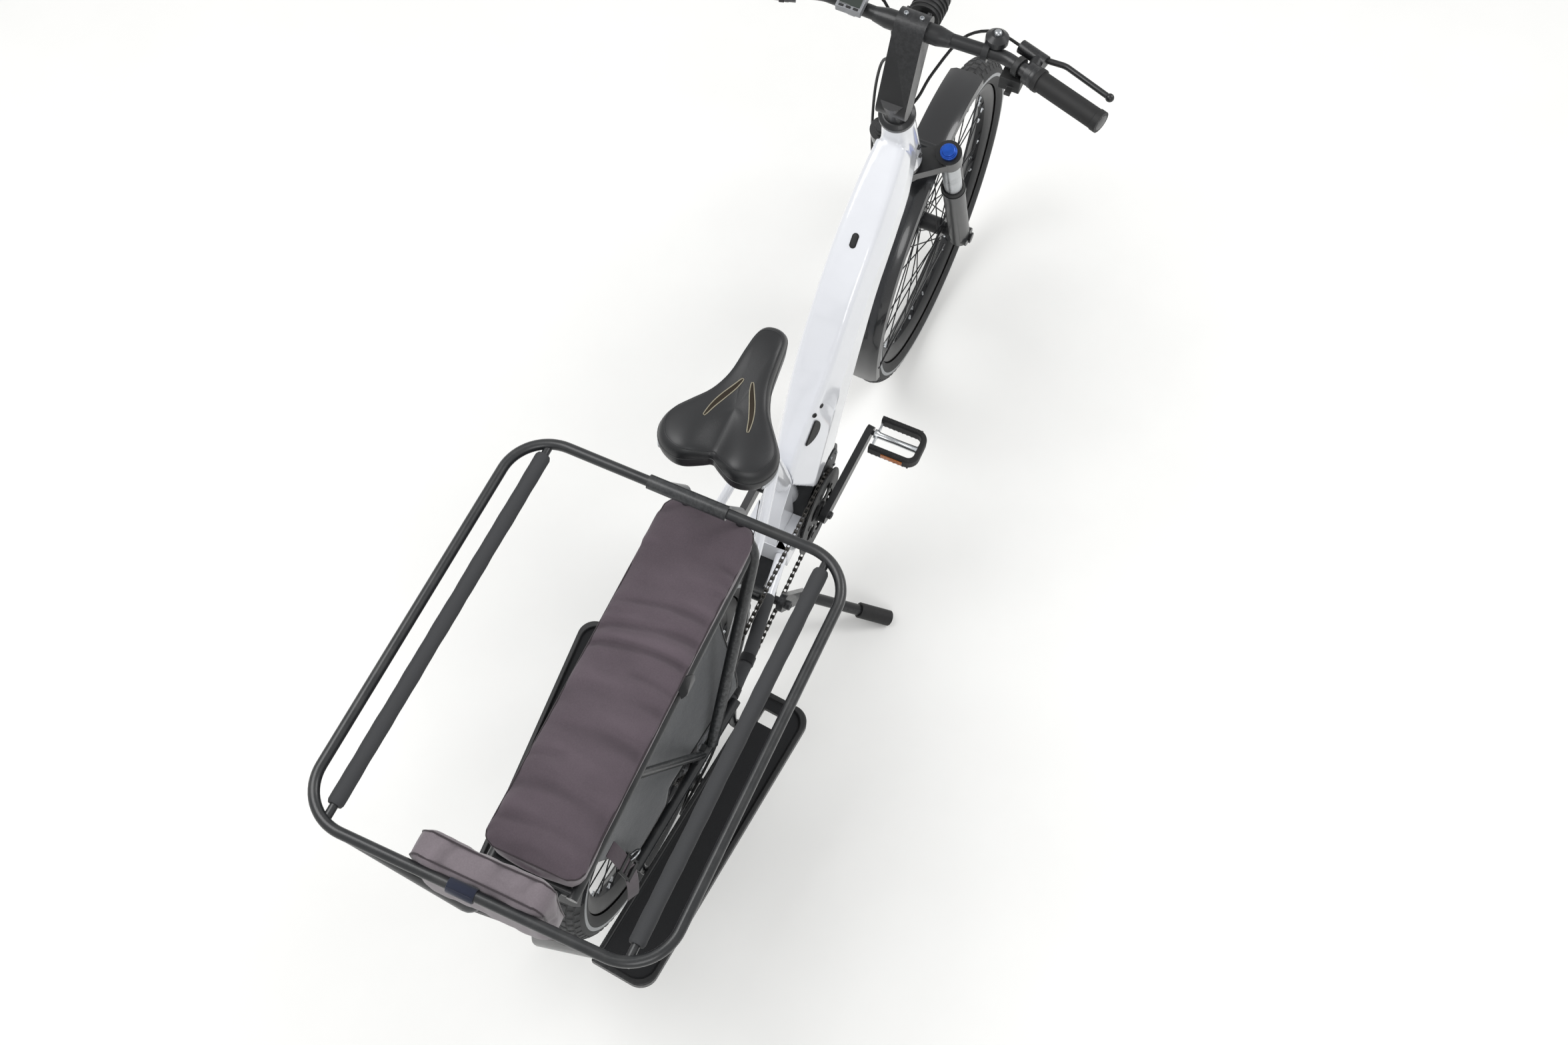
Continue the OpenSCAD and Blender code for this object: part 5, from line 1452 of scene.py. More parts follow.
@dataclass
class SoftGoods:
    """Seat cushion, backrest, foam sleeves, guard sheets and straps of the carrier."""

    rail_z: float = 974.0
    rear_x: float = -1030.0
    bar_y: float = 218.5
    foam_x: tuple[float, float] = (-423.0, -1000.0)
    low_rail: tuple[tuple[float, float, float], ...] = ((-444, 95.1, 412), (-768, 66.8, 384))
    guard_y: float = 43.0
    guard_points: tuple[tuple[float, float], ...] = (
        (160, 340), (-312, 318), (-179, 45), (-96, 45), (-80, 92), (78, 92), (94, 66), (136, 66),
    )
    tab_x: tuple[float, ...] = (130.0, -20.0, -170.0)
    tab_foot_m: float = 0.635
    lean_top: float = 650.0
    lean_h: float = 250.0
    lean_gap: float = 12.0
    hem_r: float = 2.1

    def build(self) -> None:
        """Makes every soft piece of the carrier."""
        seat = Pad("cushion", SEAT_CREASES, lip_mm=34, tuck=0.08)
        seat.trim(seat.build(), -5.0)
        back = Pad(
            "backrest", BACK_CREASES, 1, 0, False, (2, 2, 2), (8, 0, 15), ripple=0.35,
            surface=Surface.WORN_CLOTH
        )
        pad = back.build()
        back.trim(pad, -3.0)
        back.trim(pad, -3.0, top=False)
        self.seat_tab()
        for side, name in ((1, "left"), (-1, "right")):
            self.sleeve(side, name)
            self.guard(side, name)
        self.back_strap()
        self.buckle_strap()

    def rail_at(self, x: float, side: int) -> Vector:
        """A place on the middle of the low side rail."""
        a, b = self.low_rail
        share = (x - a[0]) / (b[0] - a[0])
        return at(x, side * (a[1] + (b[1] - a[1]) * share), a[2] + (b[2] - a[2]) * share)

    def guard_at(self, x: float, side: int, z: float) -> Vector:
        """A place on a guard sheet, which leans out to the low rail at its foot."""
        foot = side * self.rail_at(x, side).y / MM - self.lean_gap
        share = eased((self.lean_top - z) / self.lean_h)
        return at(x, side * (self.guard_y + (foot - self.guard_y) * share), z)

    def sleeve(self, side: int, name: str) -> None:
        """A foam sleeve, slit and closed along its underside, with soft dents."""
        shape, steps, sides = Shape(), 150, 28
        (front, rear), rows = self.foam_x, []
        length = front - rear
        for i in range(steps + 1):
            share = i / steps
            x = front - share * length
            ends = min(share, 1 - share) * length
            swell = 11.4 - 1.6 * max(0.0, 1 - ends / 2.2) ** 2
            swell += 0.18 * math.sin(share * 41) + 0.14 * math.sin(share * 97 + side)
            ring = []
            for k in range(sides):
                a = 2 * math.pi * k / sides
                slit = 1.3 * math.exp(-(((a - 1.5 * math.pi) / 0.1) ** 2))
                r = swell - slit + 0.12 * math.sin(3 * a + share * 23)
                ring.append(at(x, side * self.bar_y + r * math.cos(a), self.rail_z - 3 + r * math.sin(a)))
            rows.append(ring)
        shape.grid(rows, True, False)
        for ring, x in ((rows[0], front), (rows[-1], rear)):
            middle = at(x, side * self.bar_y, self.rail_z - 3)
            inner = [middle + (p - middle).normalized() * 6.1 * MM for p in ring]
            shape.grid([ring, inner], True, False)
        piece = shape.piece(f"rail_foam_{name}", "frame", Surface.FOAM, nodes=["rail_pads"], degrees=60)

    def guard(self, side: int, name: str) -> None:
        """A coated sheet beside the wheel, hemmed round and hung from the carrier by tabs."""
        outline = [(REAR_AXLE[0] + x, REAR_AXLE[2] + z) for x, z in self.guard_points]
        work = bmesh.new()
        corners = [work.verts.new(at(x, 0, z)) for x, z in outline]
        work.faces.new(corners)
        bmesh.ops.triangulate(work, faces=work.faces)
        for _ in range(5):
            long = [e for e in work.edges if e.calc_length() > 16 * MM]
            bmesh.ops.subdivide_edges(work, edges=long, cuts=1)
            bmesh.ops.triangulate(work, faces=work.faces)
        area = sum(f.calc_area() for f in work.faces)
        for vertex in work.verts:
            x, z = vertex.co.x / MM, vertex.co.z / MM
            edge = max(0.0, min(1.0, (660 - z) / 120))
            wave = 1.1 * math.sin(x / 47 + z / 90) + 0.8 * math.sin(z / 38 - x / 71)
            vertex.co = self.guard_at(x - ORIGIN_X, side, z) + Vector((0, side * edge * wave * MM, 0))
        mesh = bpy.data.meshes.new(f"guard_sheet_{name}")
        work.to_mesh(mesh)
        work.free()
        mesh.shade_smooth()
        piece = add_object(f"guard_sheet_{name}", mesh)
        body = piece.modifiers.new("cloth", "SOLIDIFY")
        body.thickness, body.offset = 1.2 * MM, 0.0
        settle(piece, "frame", Surface.GUARD, [f"spoke_guard_{name}"])
        xs, zs = [p[0] for p in outline], [p[1] for p in outline]
        flat = ((max(xs) - min(xs)) * MM, (max(zs) - min(zs)) * MM)
        trims = [self.hem(outline, side, name), self.tabs(side, name)]

    def hem(self, outline: Points, side: int, name: str) -> bpy.types.Object:
        """The bound edge of a guard sheet."""
        flat = [Vector((x, z, 0)) for x, z in outline]
        fine = [p.lerp(q, k / 10) for p, q in zip(flat, flat[1:] + flat[:1]) for k in range(10)]
        soft = [self.guard_at(p.x, side, p.y) for p in fine]
        shape = Shape()
        shape.tube(soft, self.hem_r * MM, 8, True)
        return shape.piece(f"guard_hem_{name}", "frame", Surface.WEB_BLACK)

    def tabs(self, side: int, name: str) -> bpy.types.Object:
        """Tabs that loop from the sheet round the deck's cross bars."""
        shape = Shape()
        for x in self.tab_x:
            along, rise = x * math.cos(DECK_TILT), x * math.sin(DECK_TILT)
            bar = at(REAR_AXLE[0] + along, side * self.guard_y, DECK_Z + rise)
            low = Vector((bar.x, bar.y, self.tab_foot_m))
            over = loop_round(bar, LEFT, 9.3, 200, -400)
            ribbon(shape, [low, low.lerp(over[0], 0.5)] + over, LEFT, 17, 1.5)
        return shape.piece(f"guard_tabs_{name}", "frame", Surface.WEB_BLACK, bevel_mm=0.3)

    def seat_tab(self) -> None:
        """The dark tab sewn into the seat cushion's right side."""
        low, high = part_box("cushion")
        shape = Shape()
        x, y, z = high[0] - 0.4 * (high[0] - low[0]), low[1] - 0.001, (low[2] + high[2]) / 2 - 0.006
        line = [
            Vector((x - 0.02, y + 0.006, z + 0.016)), Vector((x, y - 0.001, z + 0.006)),
            Vector((x + 0.004, y - 0.001, z - 0.02))
        ]
        ribbon(shape, spline(line, 6), Vector((1, 0, 0.1)), 30, 1.6)
        shape.piece("cushion_side_tab", "frame", Surface.WEB_BLACK, bevel_mm=0.3)

    def back_strap(self) -> None:
        """The navy strap that holds the backrest to the rear bar."""
        shape = Shape()
        bar = at(self.rear_x, 12.5, self.rail_z)
        around = loop_round(bar, LEFT, 9.1, 95, -300)
        ribbon(shape, around, LEFT, 40, 1.6)
        ribbon(shape, loop_round(bar, LEFT, 10.7, -40, -150), LEFT, 39, 1.6)
        shape.piece("backrest_strap", "frame", Surface.NAVY_STRAP, bevel_mm=0.4)

    def buckle_strap(self) -> None:
        """The mauve strap at the right sheet's rear edge, with its buckle, ring and hanging tail."""
        shape, ahead = Shape(), AHEAD
        band = [at(*p) for p in ((-797, -48, 552), (-797, -54, 545), (-798, -64, 527), (-799, -75, 505))]
        ribbon(shape, spline(band, 6), ahead, 27, 1.8)
        tail = ((-799, -77, 500), (-801, -82, 460), (-806, -84, 400), (-808, -80, 340), (-815, -85, 288))
        ribbon(shape, spline([at(*p) for p in tail], 8), Vector((1, -0.5, 0)), 23, 1.4)
        shape.piece("buckle_strap", "frame", Surface.WEBBING, bevel_mm=0.4)
        buckle = Shape()
        place = Matrix.Translation(at(-799, -77, 503)) @ Matrix.Rotation(math.radians(-30), 4, "X")
        bars = (
            ((-17, -3, -16), (17, 3, -10)), ((-17, -3, 10), (17, 3, 16)), ((-17, -3, -16), (-13, 3, 16)),
            ((13, -3, -16), (17, 3, 16)), ((-13, -2, -3), (13, 3.4, 3))
        )
        for low, high in bars:
            buckle.block(Vector(low) * MM, Vector(high) * MM, place)
        buckle.piece("strap_buckle", "frame", Surface.PLASTIC, bevel_mm=1.2)
        ring = Shape()
        ring.tube(
            loop_round(at(-777, -76, 500), Vector((0.3, 1, 0.6)).normalized(), 12, 0, 345, 40), 1.8 * MM,
            10, True
        )
        ring.piece("strap_ring", "frame", Surface.STEEL)


@dataclass
class Saddle:
    """The vinyl saddle: a padded cover with two crescent windows, seams and a pale shell under its lobes."""

    half: tuple[tuple[float, float], ...] = (
        (0, 3), (4, 15), (18, 24), (52, 28.5), (96, 34), (134, 49), (163, 71), (188, 89),
        (212, 93.5), (236, 84), (250, 65), (253, 42), (241, 17), (232, 3),
    )
    levels: tuple[tuple[float, float], ...] = (
        (0.7, 55), (0.9, 54.5), (0.955, 51), (0.985, 43), (1.0, 31), (0.992, 21), (0.965, 12.5),
        (0.92, 6.8), (0.86, 3.6), (0.78, 1.9), (0.66, 0.8), (0.5, 0.2), (0.3, 0.0), (0.1, 0.0),
    )
    middle: float = 150.0
    nose_x: float = -91.18
    nose_z: float = 1010.8
    dip_mm: float = 11.0
    lobe_mm: float = 4.5
    nose_mm: float = 3.0
    fade_mm: float = 26.0
    welt_depth: float = 24.0
    window_half_w: float = 4.2

    def crown(self, x: float) -> float:
        """Height of the top along the saddle, from the nose."""
        return -0.06 * x if x < 60 else -3.6 - 16 * math.sin(min(x - 60, 130) / 130 * math.pi / 2)

    def place(self, x: float, y: float, depth: float) -> Vector:
        """A place on the saddle.

        Args:
            x: Distance back from the nose.
            y: Distance to the left.
            depth: Distance below the top line.

        Returns:
            The point, with the dip between the lobes taken off.
        """
        rear = max(0.0, min(1.0, (x - 120) / 90))
        upper = max(0.0, 1 - depth / self.fade_mm)
        dip = self.dip_mm * rear * math.exp(-((y / 21) ** 2)) * upper
        lobe = self.lobe_mm * rear * math.exp(-(((abs(y) - 48) / 26) ** 2)) * upper
        nose = self.nose_mm * max(0.0, 1 - x / 110) * (1 - min(1.0, (y / 26) ** 2)) * upper
        level = self.nose_z + self.crown(x) - depth - dip + lobe + nose - self.nose_mm * upper
        return at(self.nose_x - x, y, level)

    def outline(self, scale: float) -> list[tuple[float, float]]:
        """The saddle's outline at a scale, from the nose round by the left."""
        line = [(p.x, p.y) for p in spline([(x, y, 0) for x, y in self.half], 4)]
        ring = line + [(x, -y) for x, y in reversed(line)]
        return [(self.middle + (x - self.middle) * scale, y * scale) for x, y in ring]

    def build(self) -> None:
        """Makes the cover, its seams, windows and shell."""
        cover = Shape()
        cover.grid([[self.place(x, y, depth) for x, y in self.outline(s)] for s, depth in self.levels])
        piece = cover.piece("saddle_cover", "frame", Surface.VINYL, nodes=["saddle"], degrees=70)
        soft = piece.modifiers.new("soft", "SUBSURF")
        soft.levels = soft.render_levels = 1
        tree = surface_of(piece)
        self.seam(tree, 0.9, "upper")
        self.lower_seam(tree)
        for side, name in ((1, "left"), (-1, "right")):
            self.window(tree, side, name)
        self.shell()

    def on_top(self, tree: BVHTree, x: float, y: float, lift_mm: float = 0.0) -> Vector:
        """A place on the cover, found from above."""
        start = self.place(x, y, 0) + Vector((0, 0, 0.05))
        hit = tree.ray_cast(start, DOWN)[0]
        return (hit or self.place(x, y, 0)) + Vector((0, 0, lift_mm * MM))

    def seam(self, tree: BVHTree, scale: float, name: str) -> None:
        """A sewn line that follows the edge."""
        line = [self.on_top(tree, x, y, -0.15) for x, y in self.outline(scale)]
        cord = Shape()
        cord.tube(line, 0.9 * MM, 8, True)
        cord.piece(f"saddle_seam_{name}", "frame", Surface.VINYL)

    def lower_seam(self, tree: BVHTree) -> None:
        """The welt between the cover's top panel and its skirt."""
        line = []
        for x, y in self.outline(1.02):
            line.append(tree.find_nearest(self.place(x, y, self.welt_depth))[0])
        cord = Shape()
        cord.tube(line, 1.0 * MM, 8, True)
        cord.piece("saddle_welt", "frame", Surface.VINYL)

    def window(self, tree: BVHTree, side: int, name: str) -> None:
        """A crescent window: a brown inlay inside a raised beige edge."""
        spine = spline([(106, 7.5, 0), (120, 13, 0), (140, 22.5, 0), (160, 30, 0), (182, 35, 0)], 6)
        left, right = [], []
        for i, p in enumerate(spine):
            ahead = (spine[min(i + 1, len(spine) - 1)] - spine[max(i - 1, 0)]).normalized()
            wide = self.window_half_w * math.sin(math.pi * (0.06 + 0.88 * i / (len(spine) - 1))) ** 0.7
            left.append((p.x - ahead.y * wide, p.y + ahead.x * wide))
            right.append((p.x + ahead.y * wide, p.y - ahead.x * wide))
        inlay = Shape()
        rows = []
        for a, b in zip(left, right):
            across = [(a[0] + (b[0] - a[0]) * k / 6, a[1] + (b[1] - a[1]) * k / 6) for k in range(7)]
            rows.append([self.on_top(tree, x, side * y, 0.35) for x, y in across])
        inlay.grid(rows, False)
        piece = inlay.piece(f"saddle_inlay_{name}", "frame", Surface.SLOT_INLAY)
        body = piece.modifiers.new("body", "SOLIDIFY")
        body.thickness, body.offset = 1.2 * MM, -1.0
        edge = Shape()
        ring = [self.on_top(tree, x, side * y, 0.5) for x, y in left + right[::-1]]
        edge.tube(ring, 0.8 * MM, 8, True)
        edge.piece(f"saddle_window_edge_{name}", "frame", Surface.SLOT_PIPING)

    def shell(self) -> None:
        """The pale shell that shows under the rear lobes."""
        ring = self.outline(1.0)
        for side, name in ((1, "left"), (-1, "right")):
            band = [(x, y) for x, y in ring if y * side > 58 and 165 < x < 238]
            rows = [
                [self.place(self.middle + (x - self.middle) * s, y * s, depth) for x, y in band]
                for s, depth in ((0.97, 39), (1.004, 43), (0.985, 49), (0.93, 52))
            ]
            skirt = Shape()
            skirt.grid(rows, False)
            piece = skirt.piece(f"saddle_shell_{name}", "frame", Surface.SADDLE_SHELL, degrees=60)
            body = piece.modifiers.new("body", "SOLIDIFY")
            body.thickness, body.offset = 2.0 * MM, -1.0


STEER_FOOT = Vector((635.9, 0.0, 325.0))
STEER_AXIS = Vector((-math.cos(math.radians(68)), 0.0, math.sin(math.radians(68))))
BAR_MID = (399.8, 0.0, 1149.6)
GRIP_END = (347.8, 320.0, 1149.6)
GRIP_OUT = Vector((-56.0, 170.0, 0.0)).normalized()


def along_steering(p: Vector) -> float:
    """How far a point lies up the steering axis, in millimetres."""
    return (p / MM - Vector((ORIGIN_X, 0, 0)) - STEER_FOOT).dot(STEER_AXIS)


def socket_bolt(shape: Shape, seat: Vector, axis: Vector, d_mm: float) -> None:
    """Adds a socket-head bolt that stands on a face.

    Args:
        shape: Shape that gets it.
        seat: Middle of the bolt on the face.
        axis: Direction that its head points.
        d_mm: Diameter of the head.
    """
    r, h = d_mm / 2, d_mm * 0.42
    rows = (
        (0, h * 0.3), (r * 0.5, h * 0.3), (r * 0.55, h), (r * 0.86, h), (r, h * 0.75), (r, -1.5), (0, -1.5)
    )
    shape.turned(rows, seat, axis, 18)


@dataclass(frozen=True)
class BoltSet:
    """Bolts that are shot on to a CAD node from points outside it."""

    name: str
    node: str
    surface: Surface
    d_mm: float
    shots: tuple[tuple[tuple[float, float, float], tuple[float, float, float]], ...]

    def build(self) -> None:
        """Finds where each shot lands and sets a bolt there."""
        tree, shape = node_surface(self.node), Shape()
        for start, aim in self.shots:
            hit, normal, _, _ = tree.ray_cast(at(*start), Vector(aim))
            if hit is None:
                log.warning("%s misses %s", self.name, self.node)
                continue
            socket_bolt(shape, hit, normal, self.d_mm)
        shape.piece(self.name, _frame["body"][self.node], self.surface, degrees=30)


BOLTS = (
    BoltSet(
        "stem_top_bolts", "stem", Surface.STEEL, 8,
        (((398, 13, 1300), (0, 0, -1)), ((398, -13, 1300), (0, 0, -1)))
    ),
    BoltSet("stem_face_bolts", "stem", Surface.BLACK_METAL, 7, tuple(
        ((600, y, 1149.6 + z), (-1, 0, 0)) for y in (-17, 17) for z in (-13, 13))),
    BoltSet("head_tube_bolts", "head_tube", Surface.BLACK_METAL, 9, (
        ((433.6, -200, 825.7), (0, 1, 0)), ((418.6, -200, 862.8), (0, 1, 0)))),
    BoltSet(
        "crank_bolts", "cranks", Surface.BLACK_METAL, 15,
        (((0, -300, 305), (0, 1, 0)), ((0, 300, 305), (0, -1, 0)))
    ),
    BoltSet("motor_bolts", "motor", Surface.STEEL, 6, tuple(
        ((64 + 34 * math.cos(a), side * 200, 349 + 34 * math.sin(a)), (0, -side, 0))
        for side in (1, -1) for a in (0.3, 1.4, 2.4, -0.7))),
    BoltSet("rear_brake_bolts", "rear_caliper", Surface.STEEL, 6, tuple(
        ((x, 200, 368), (0, -1, 0)) for x in (-498, -474))),
    BoltSet("front_brake_bolts", "front_caliper", Surface.STEEL, 6, (
        ((602, 200, 392), (0, -1, 0)), ((616, 200, 368), (0, -1, 0)))),
    BoltSet("carrier_bolts", "rack", Surface.STEEL, 8, tuple(
        ((x, side * 200, 370), (0, -side, 0)) for side in (1, -1) for x in (-566, -546))),
    BoltSet("derailleur_caps", "rear_derailleur", Surface.BLACK_METAL, 10, (
        ((-564, -200, 310), (0, 1, 0)), ((-562, -200, 262), (0, 1, 0)), ((-526, -200, 188), (0, 1, 0)))),
    BoltSet("seat_collar_bolt", "seat_tube", Surface.BLACK_METAL, 8, (((-400, 0, 733), (1, 0, 0)),)),
    BoltSet("stand_caps", "stand_bracket", Surface.BLACK_METAL, 18, (
        ((-185, 300, 272), (0, -1, 0)), ((-185, -300, 272), (0, 1, 0)))),
)


@dataclass(frozen=True)
class Zone:
    """A second finish on part of a CAD node."""

    surface: Surface
    holds: Callable[[bpy.types.MeshPolygon], bool]


TAPE = Zone(Surface.GRIP_TAPE, lambda f: f.normal.z > 0.95 and abs(f.center.z - 0.366) < 0.001)
ZONES: dict[str, Zone] = {
    "footboard_left": TAPE,
    "footboard_right": TAPE,
    "fork_crown": Zone(Surface.STEEL, lambda f: along_steering(f.center) < 439.0),
    "fork_knobs": Zone(Surface.CROWN, lambda f: f.center.y > 0),
    "rear_lamp": Zone(Surface.RED_LENS, lambda f: f.center.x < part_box("rear_lamp")[0][0] + 0.007),
    "seat_post": Zone(Surface.STEEL, lambda f: abs(f.center.y) > 0.0165),
}


@dataclass
class Pedal:
    """A pedal: an alloy spool inside a rubber cage with amber reflectors."""

    body: str
    centre: tuple[float, float]
    side: int
    inner_y: float = 97.0
    width: float = 98.0
    half_l: float = 32.5

    def at(self, x: float, y: float, z: float) -> Vector:
        """A place on the pedal, with y outwards from its inner end."""
        return at(self.centre[0] + x, self.side * (self.inner_y + y), self.centre[1] + z)

    def build(self) -> None:
        """Makes the pedal's pieces."""
        spool, out = Shape(), Vector((0, self.side, 0))
        rows = ((4.6, 0), (9, 0), (9, 6), (6.4, 10), (5.8, 44), (6.4, 82), (8.6, 86), (8.6, 90), (4.6, 90))
        spool.turned(rows, self.at(0, 0, 0), out, 32)
        for y in (4, 84):
            rows = [
                [self.at(x, y + t, z * k) for x, k in ((-26, 0.6), (0, 1.0), (26, 0.6))]
                for t, z in ((0, 6), (4, 6), (4, -6), (0, -6))
            ]
            spool.grid([list(r) for r in zip(*rows)])
        spool.piece(f"{self.body}_spool", self.body, Surface.ALLOY, nodes=[self.body], bevel_mm=0.5)
        self.cage()
        self.studs()
        lens = Shape()
        for x in (-1, 1):
            low = self.at(x * (self.half_l + 5.4), 28, -5)
            high = self.at(x * (self.half_l + 7.4), 70, 5)
            ends = list(zip(low, high))
            lens.block(Vector([min(e) for e in ends]), Vector([max(e) for e in ends]))
        lens.piece(f"{self.body}_reflectors", self.body, Surface.AMBER, bevel_mm=0.6)

    def cage(self) -> None:
        """The rubber loop round the spool, open towards the crank."""
        corners = [(self.half_l, 2), (self.half_l, 90), (-self.half_l, 90), (-self.half_l, 2)]
        line = bent([(x, y, 0) for x, y in corners], 17, 8)
        shape, rows, last = Shape(), [], len(line) - 1
        section = (
            (-5.6, -8), (-3.6, -11.4), (3.6, -11.4), (5.6, -8), (5.6, 8), (3.6, 11.4), (-3.6, 11.4),
            (-5.6, 8)
        )
        for i, p in enumerate(line):
            ahead = (line[min(i + 1, last)] - line[max(i - 1, 0)]).normalized()
            wide = Vector((ahead.y, -ahead.x, 0))
            rows.append([self.at(p.x + wide.x * w, p.y + wide.y * w, z) for w, z in section])
        shape.grid(rows)
        shape.piece(f"{self.body}_cage", self.body, Surface.RUBBER, bevel_mm=0.8, degrees=30)

    def studs(self) -> None:
        """Ridges across the cage's upper and lower treads."""
        ridge = Shape()
        rings = [
            [Vector((x * s, y * s, z)) * MM for x, y in ((-1.6, -4), (1.6, -4), (1.6, 4), (-1.6, 4))]
            for s, z in ((1, -0.6), (0.8, 0.9))
        ]
        ridge.grid(rings)
        for i, (x, z) in enumerate(((-1, 11.5), (1, 11.5), (-1, -11.5), (1, -11.5))):
            line = [self.at(x * self.half_l, y, z) for y in (10, 80)]
            copies("Z").lay(f"{self.body}_ridges_{i}", line, ridge, 9, self.body, Surface.RUBBER)


@dataclass
class Cockpit:
    """Grips' ribs, bell button, display face and headlamp lens."""

    rib_span: tuple[float, float] = (104.0, 16.0)
    lock_at: float = 122.0
    bell_at: tuple[float, float, float] = (416.6, -128.8, 1179.3)
    display_at: tuple[float, float, float] = (397.8, 98.0, 1166.7)
    display_tilt: float = -12.0
    lamp_ahead: float = 97.5
    lamp_below: float = 26.0

    def build(self) -> None:
        """Makes the pieces."""
        for side, name in ((1, "left"), (-1, "right")):
            self.grip(side, name)
        self.bell()
        self.display()
        self.headlamp()

    def grip(self, side: int, name: str) -> None:
        """Ribs round a grip, its lock ring and its end cap."""
        out = Vector((GRIP_OUT.x, side * GRIP_OUT.y, 0))
        end = at(GRIP_END[0], side * GRIP_END[1], GRIP_END[2])
        rib = Shape()
        rib.turned(((15.8, -1.5), (16.3, -0.6), (16.3, 0.6), (15.8, 1.5)), Vector(), AHEAD, 32)
        line = [end - out * d * MM for d in self.rib_span]
        copies("AUTO").lay(f"grip_ribs_{name}", line, rib, 24, "steering", Surface.RUBBER)
        ring = Shape()
        rows = ((11.4, -4), (17.6, -4), (18.2, -2.5), (18.2, 2.5), (17.6, 4), (11.4, 4))
        ring.turned(rows, end - out * self.lock_at * MM, out, 40)
        ring.piece(f"grip_lock_ring_{name}", "steering", Surface.BLACK_METAL, degrees=30)
        cap = Shape()
        rows = ((0, 5.2), (9, 5.0), (12.5, 4.4), (13.2, 3.0), (14.6, 3.4), (15.4, 2.0))
        cap.turned(rows, end, out, 40)
        cap.piece(f"grip_cap_{name}", "steering", Surface.SATIN, degrees=30)

    def bell(self) -> None:
        """The bell's bright push button."""
        shape = Shape()
        rows = ((0, 5.5), (3.5, 5.0), (5.6, 3.4), (6.2, 1.0), (6.2, -2), (0, -2))
        shape.turned(rows, at(*self.bell_at), UP, 32)
        shape.piece("bell_button", "steering", Surface.STEEL)

    def display(self) -> None:
        """The display's dark screen in its pale bezel, with three buttons ahead of it."""
        tilt = Matrix.Rotation(math.radians(self.display_tilt), 4, "Y")
        turn = Matrix.Translation(at(*self.display_at)) @ tilt
        screen = Shape()
        screen.block(Vector((-19, -17, 10)) * MM, Vector((23, 17, 11.7)) * MM, turn)
        screen.piece("display_screen", "steering", Surface.SCREEN, bevel_mm=0.8)
        keys = Shape()
        for y in (-12, 0, 12):
            keys.block(Vector((-24.6, y - 4, 10)) * MM, Vector((-20.6, y + 4, 12.2)) * MM, turn)
        keys.piece("display_keys", "steering", Surface.RUBBER, bevel_mm=0.8)

    def headlamp(self) -> None:
        """The headlamp's lens and the ring that holds it."""
        middle, ahead = at(BAR_MID[0] + self.lamp_ahead, 0, BAR_MID[2] - self.lamp_below), AHEAD
        lens = Shape()
        rows = ((0, 4.0), (9, 3.4), (16, 1.9), (20.6, -0.5), (0, -2))
        lens.turned(rows, middle, ahead, 48)
        lens.piece("headlamp_lens", "steering", Surface.CLEAR, degrees=60)
        ring = Shape()
        rows = ((20.4, -3), (20.4, 2.6), (23.2, 3.6), (25.8, 2.0), (25.8, -3))
        ring.turned(rows, middle, ahead, 56)
        ring.piece("headlamp_ring", "steering", Surface.SATIN, degrees=30)


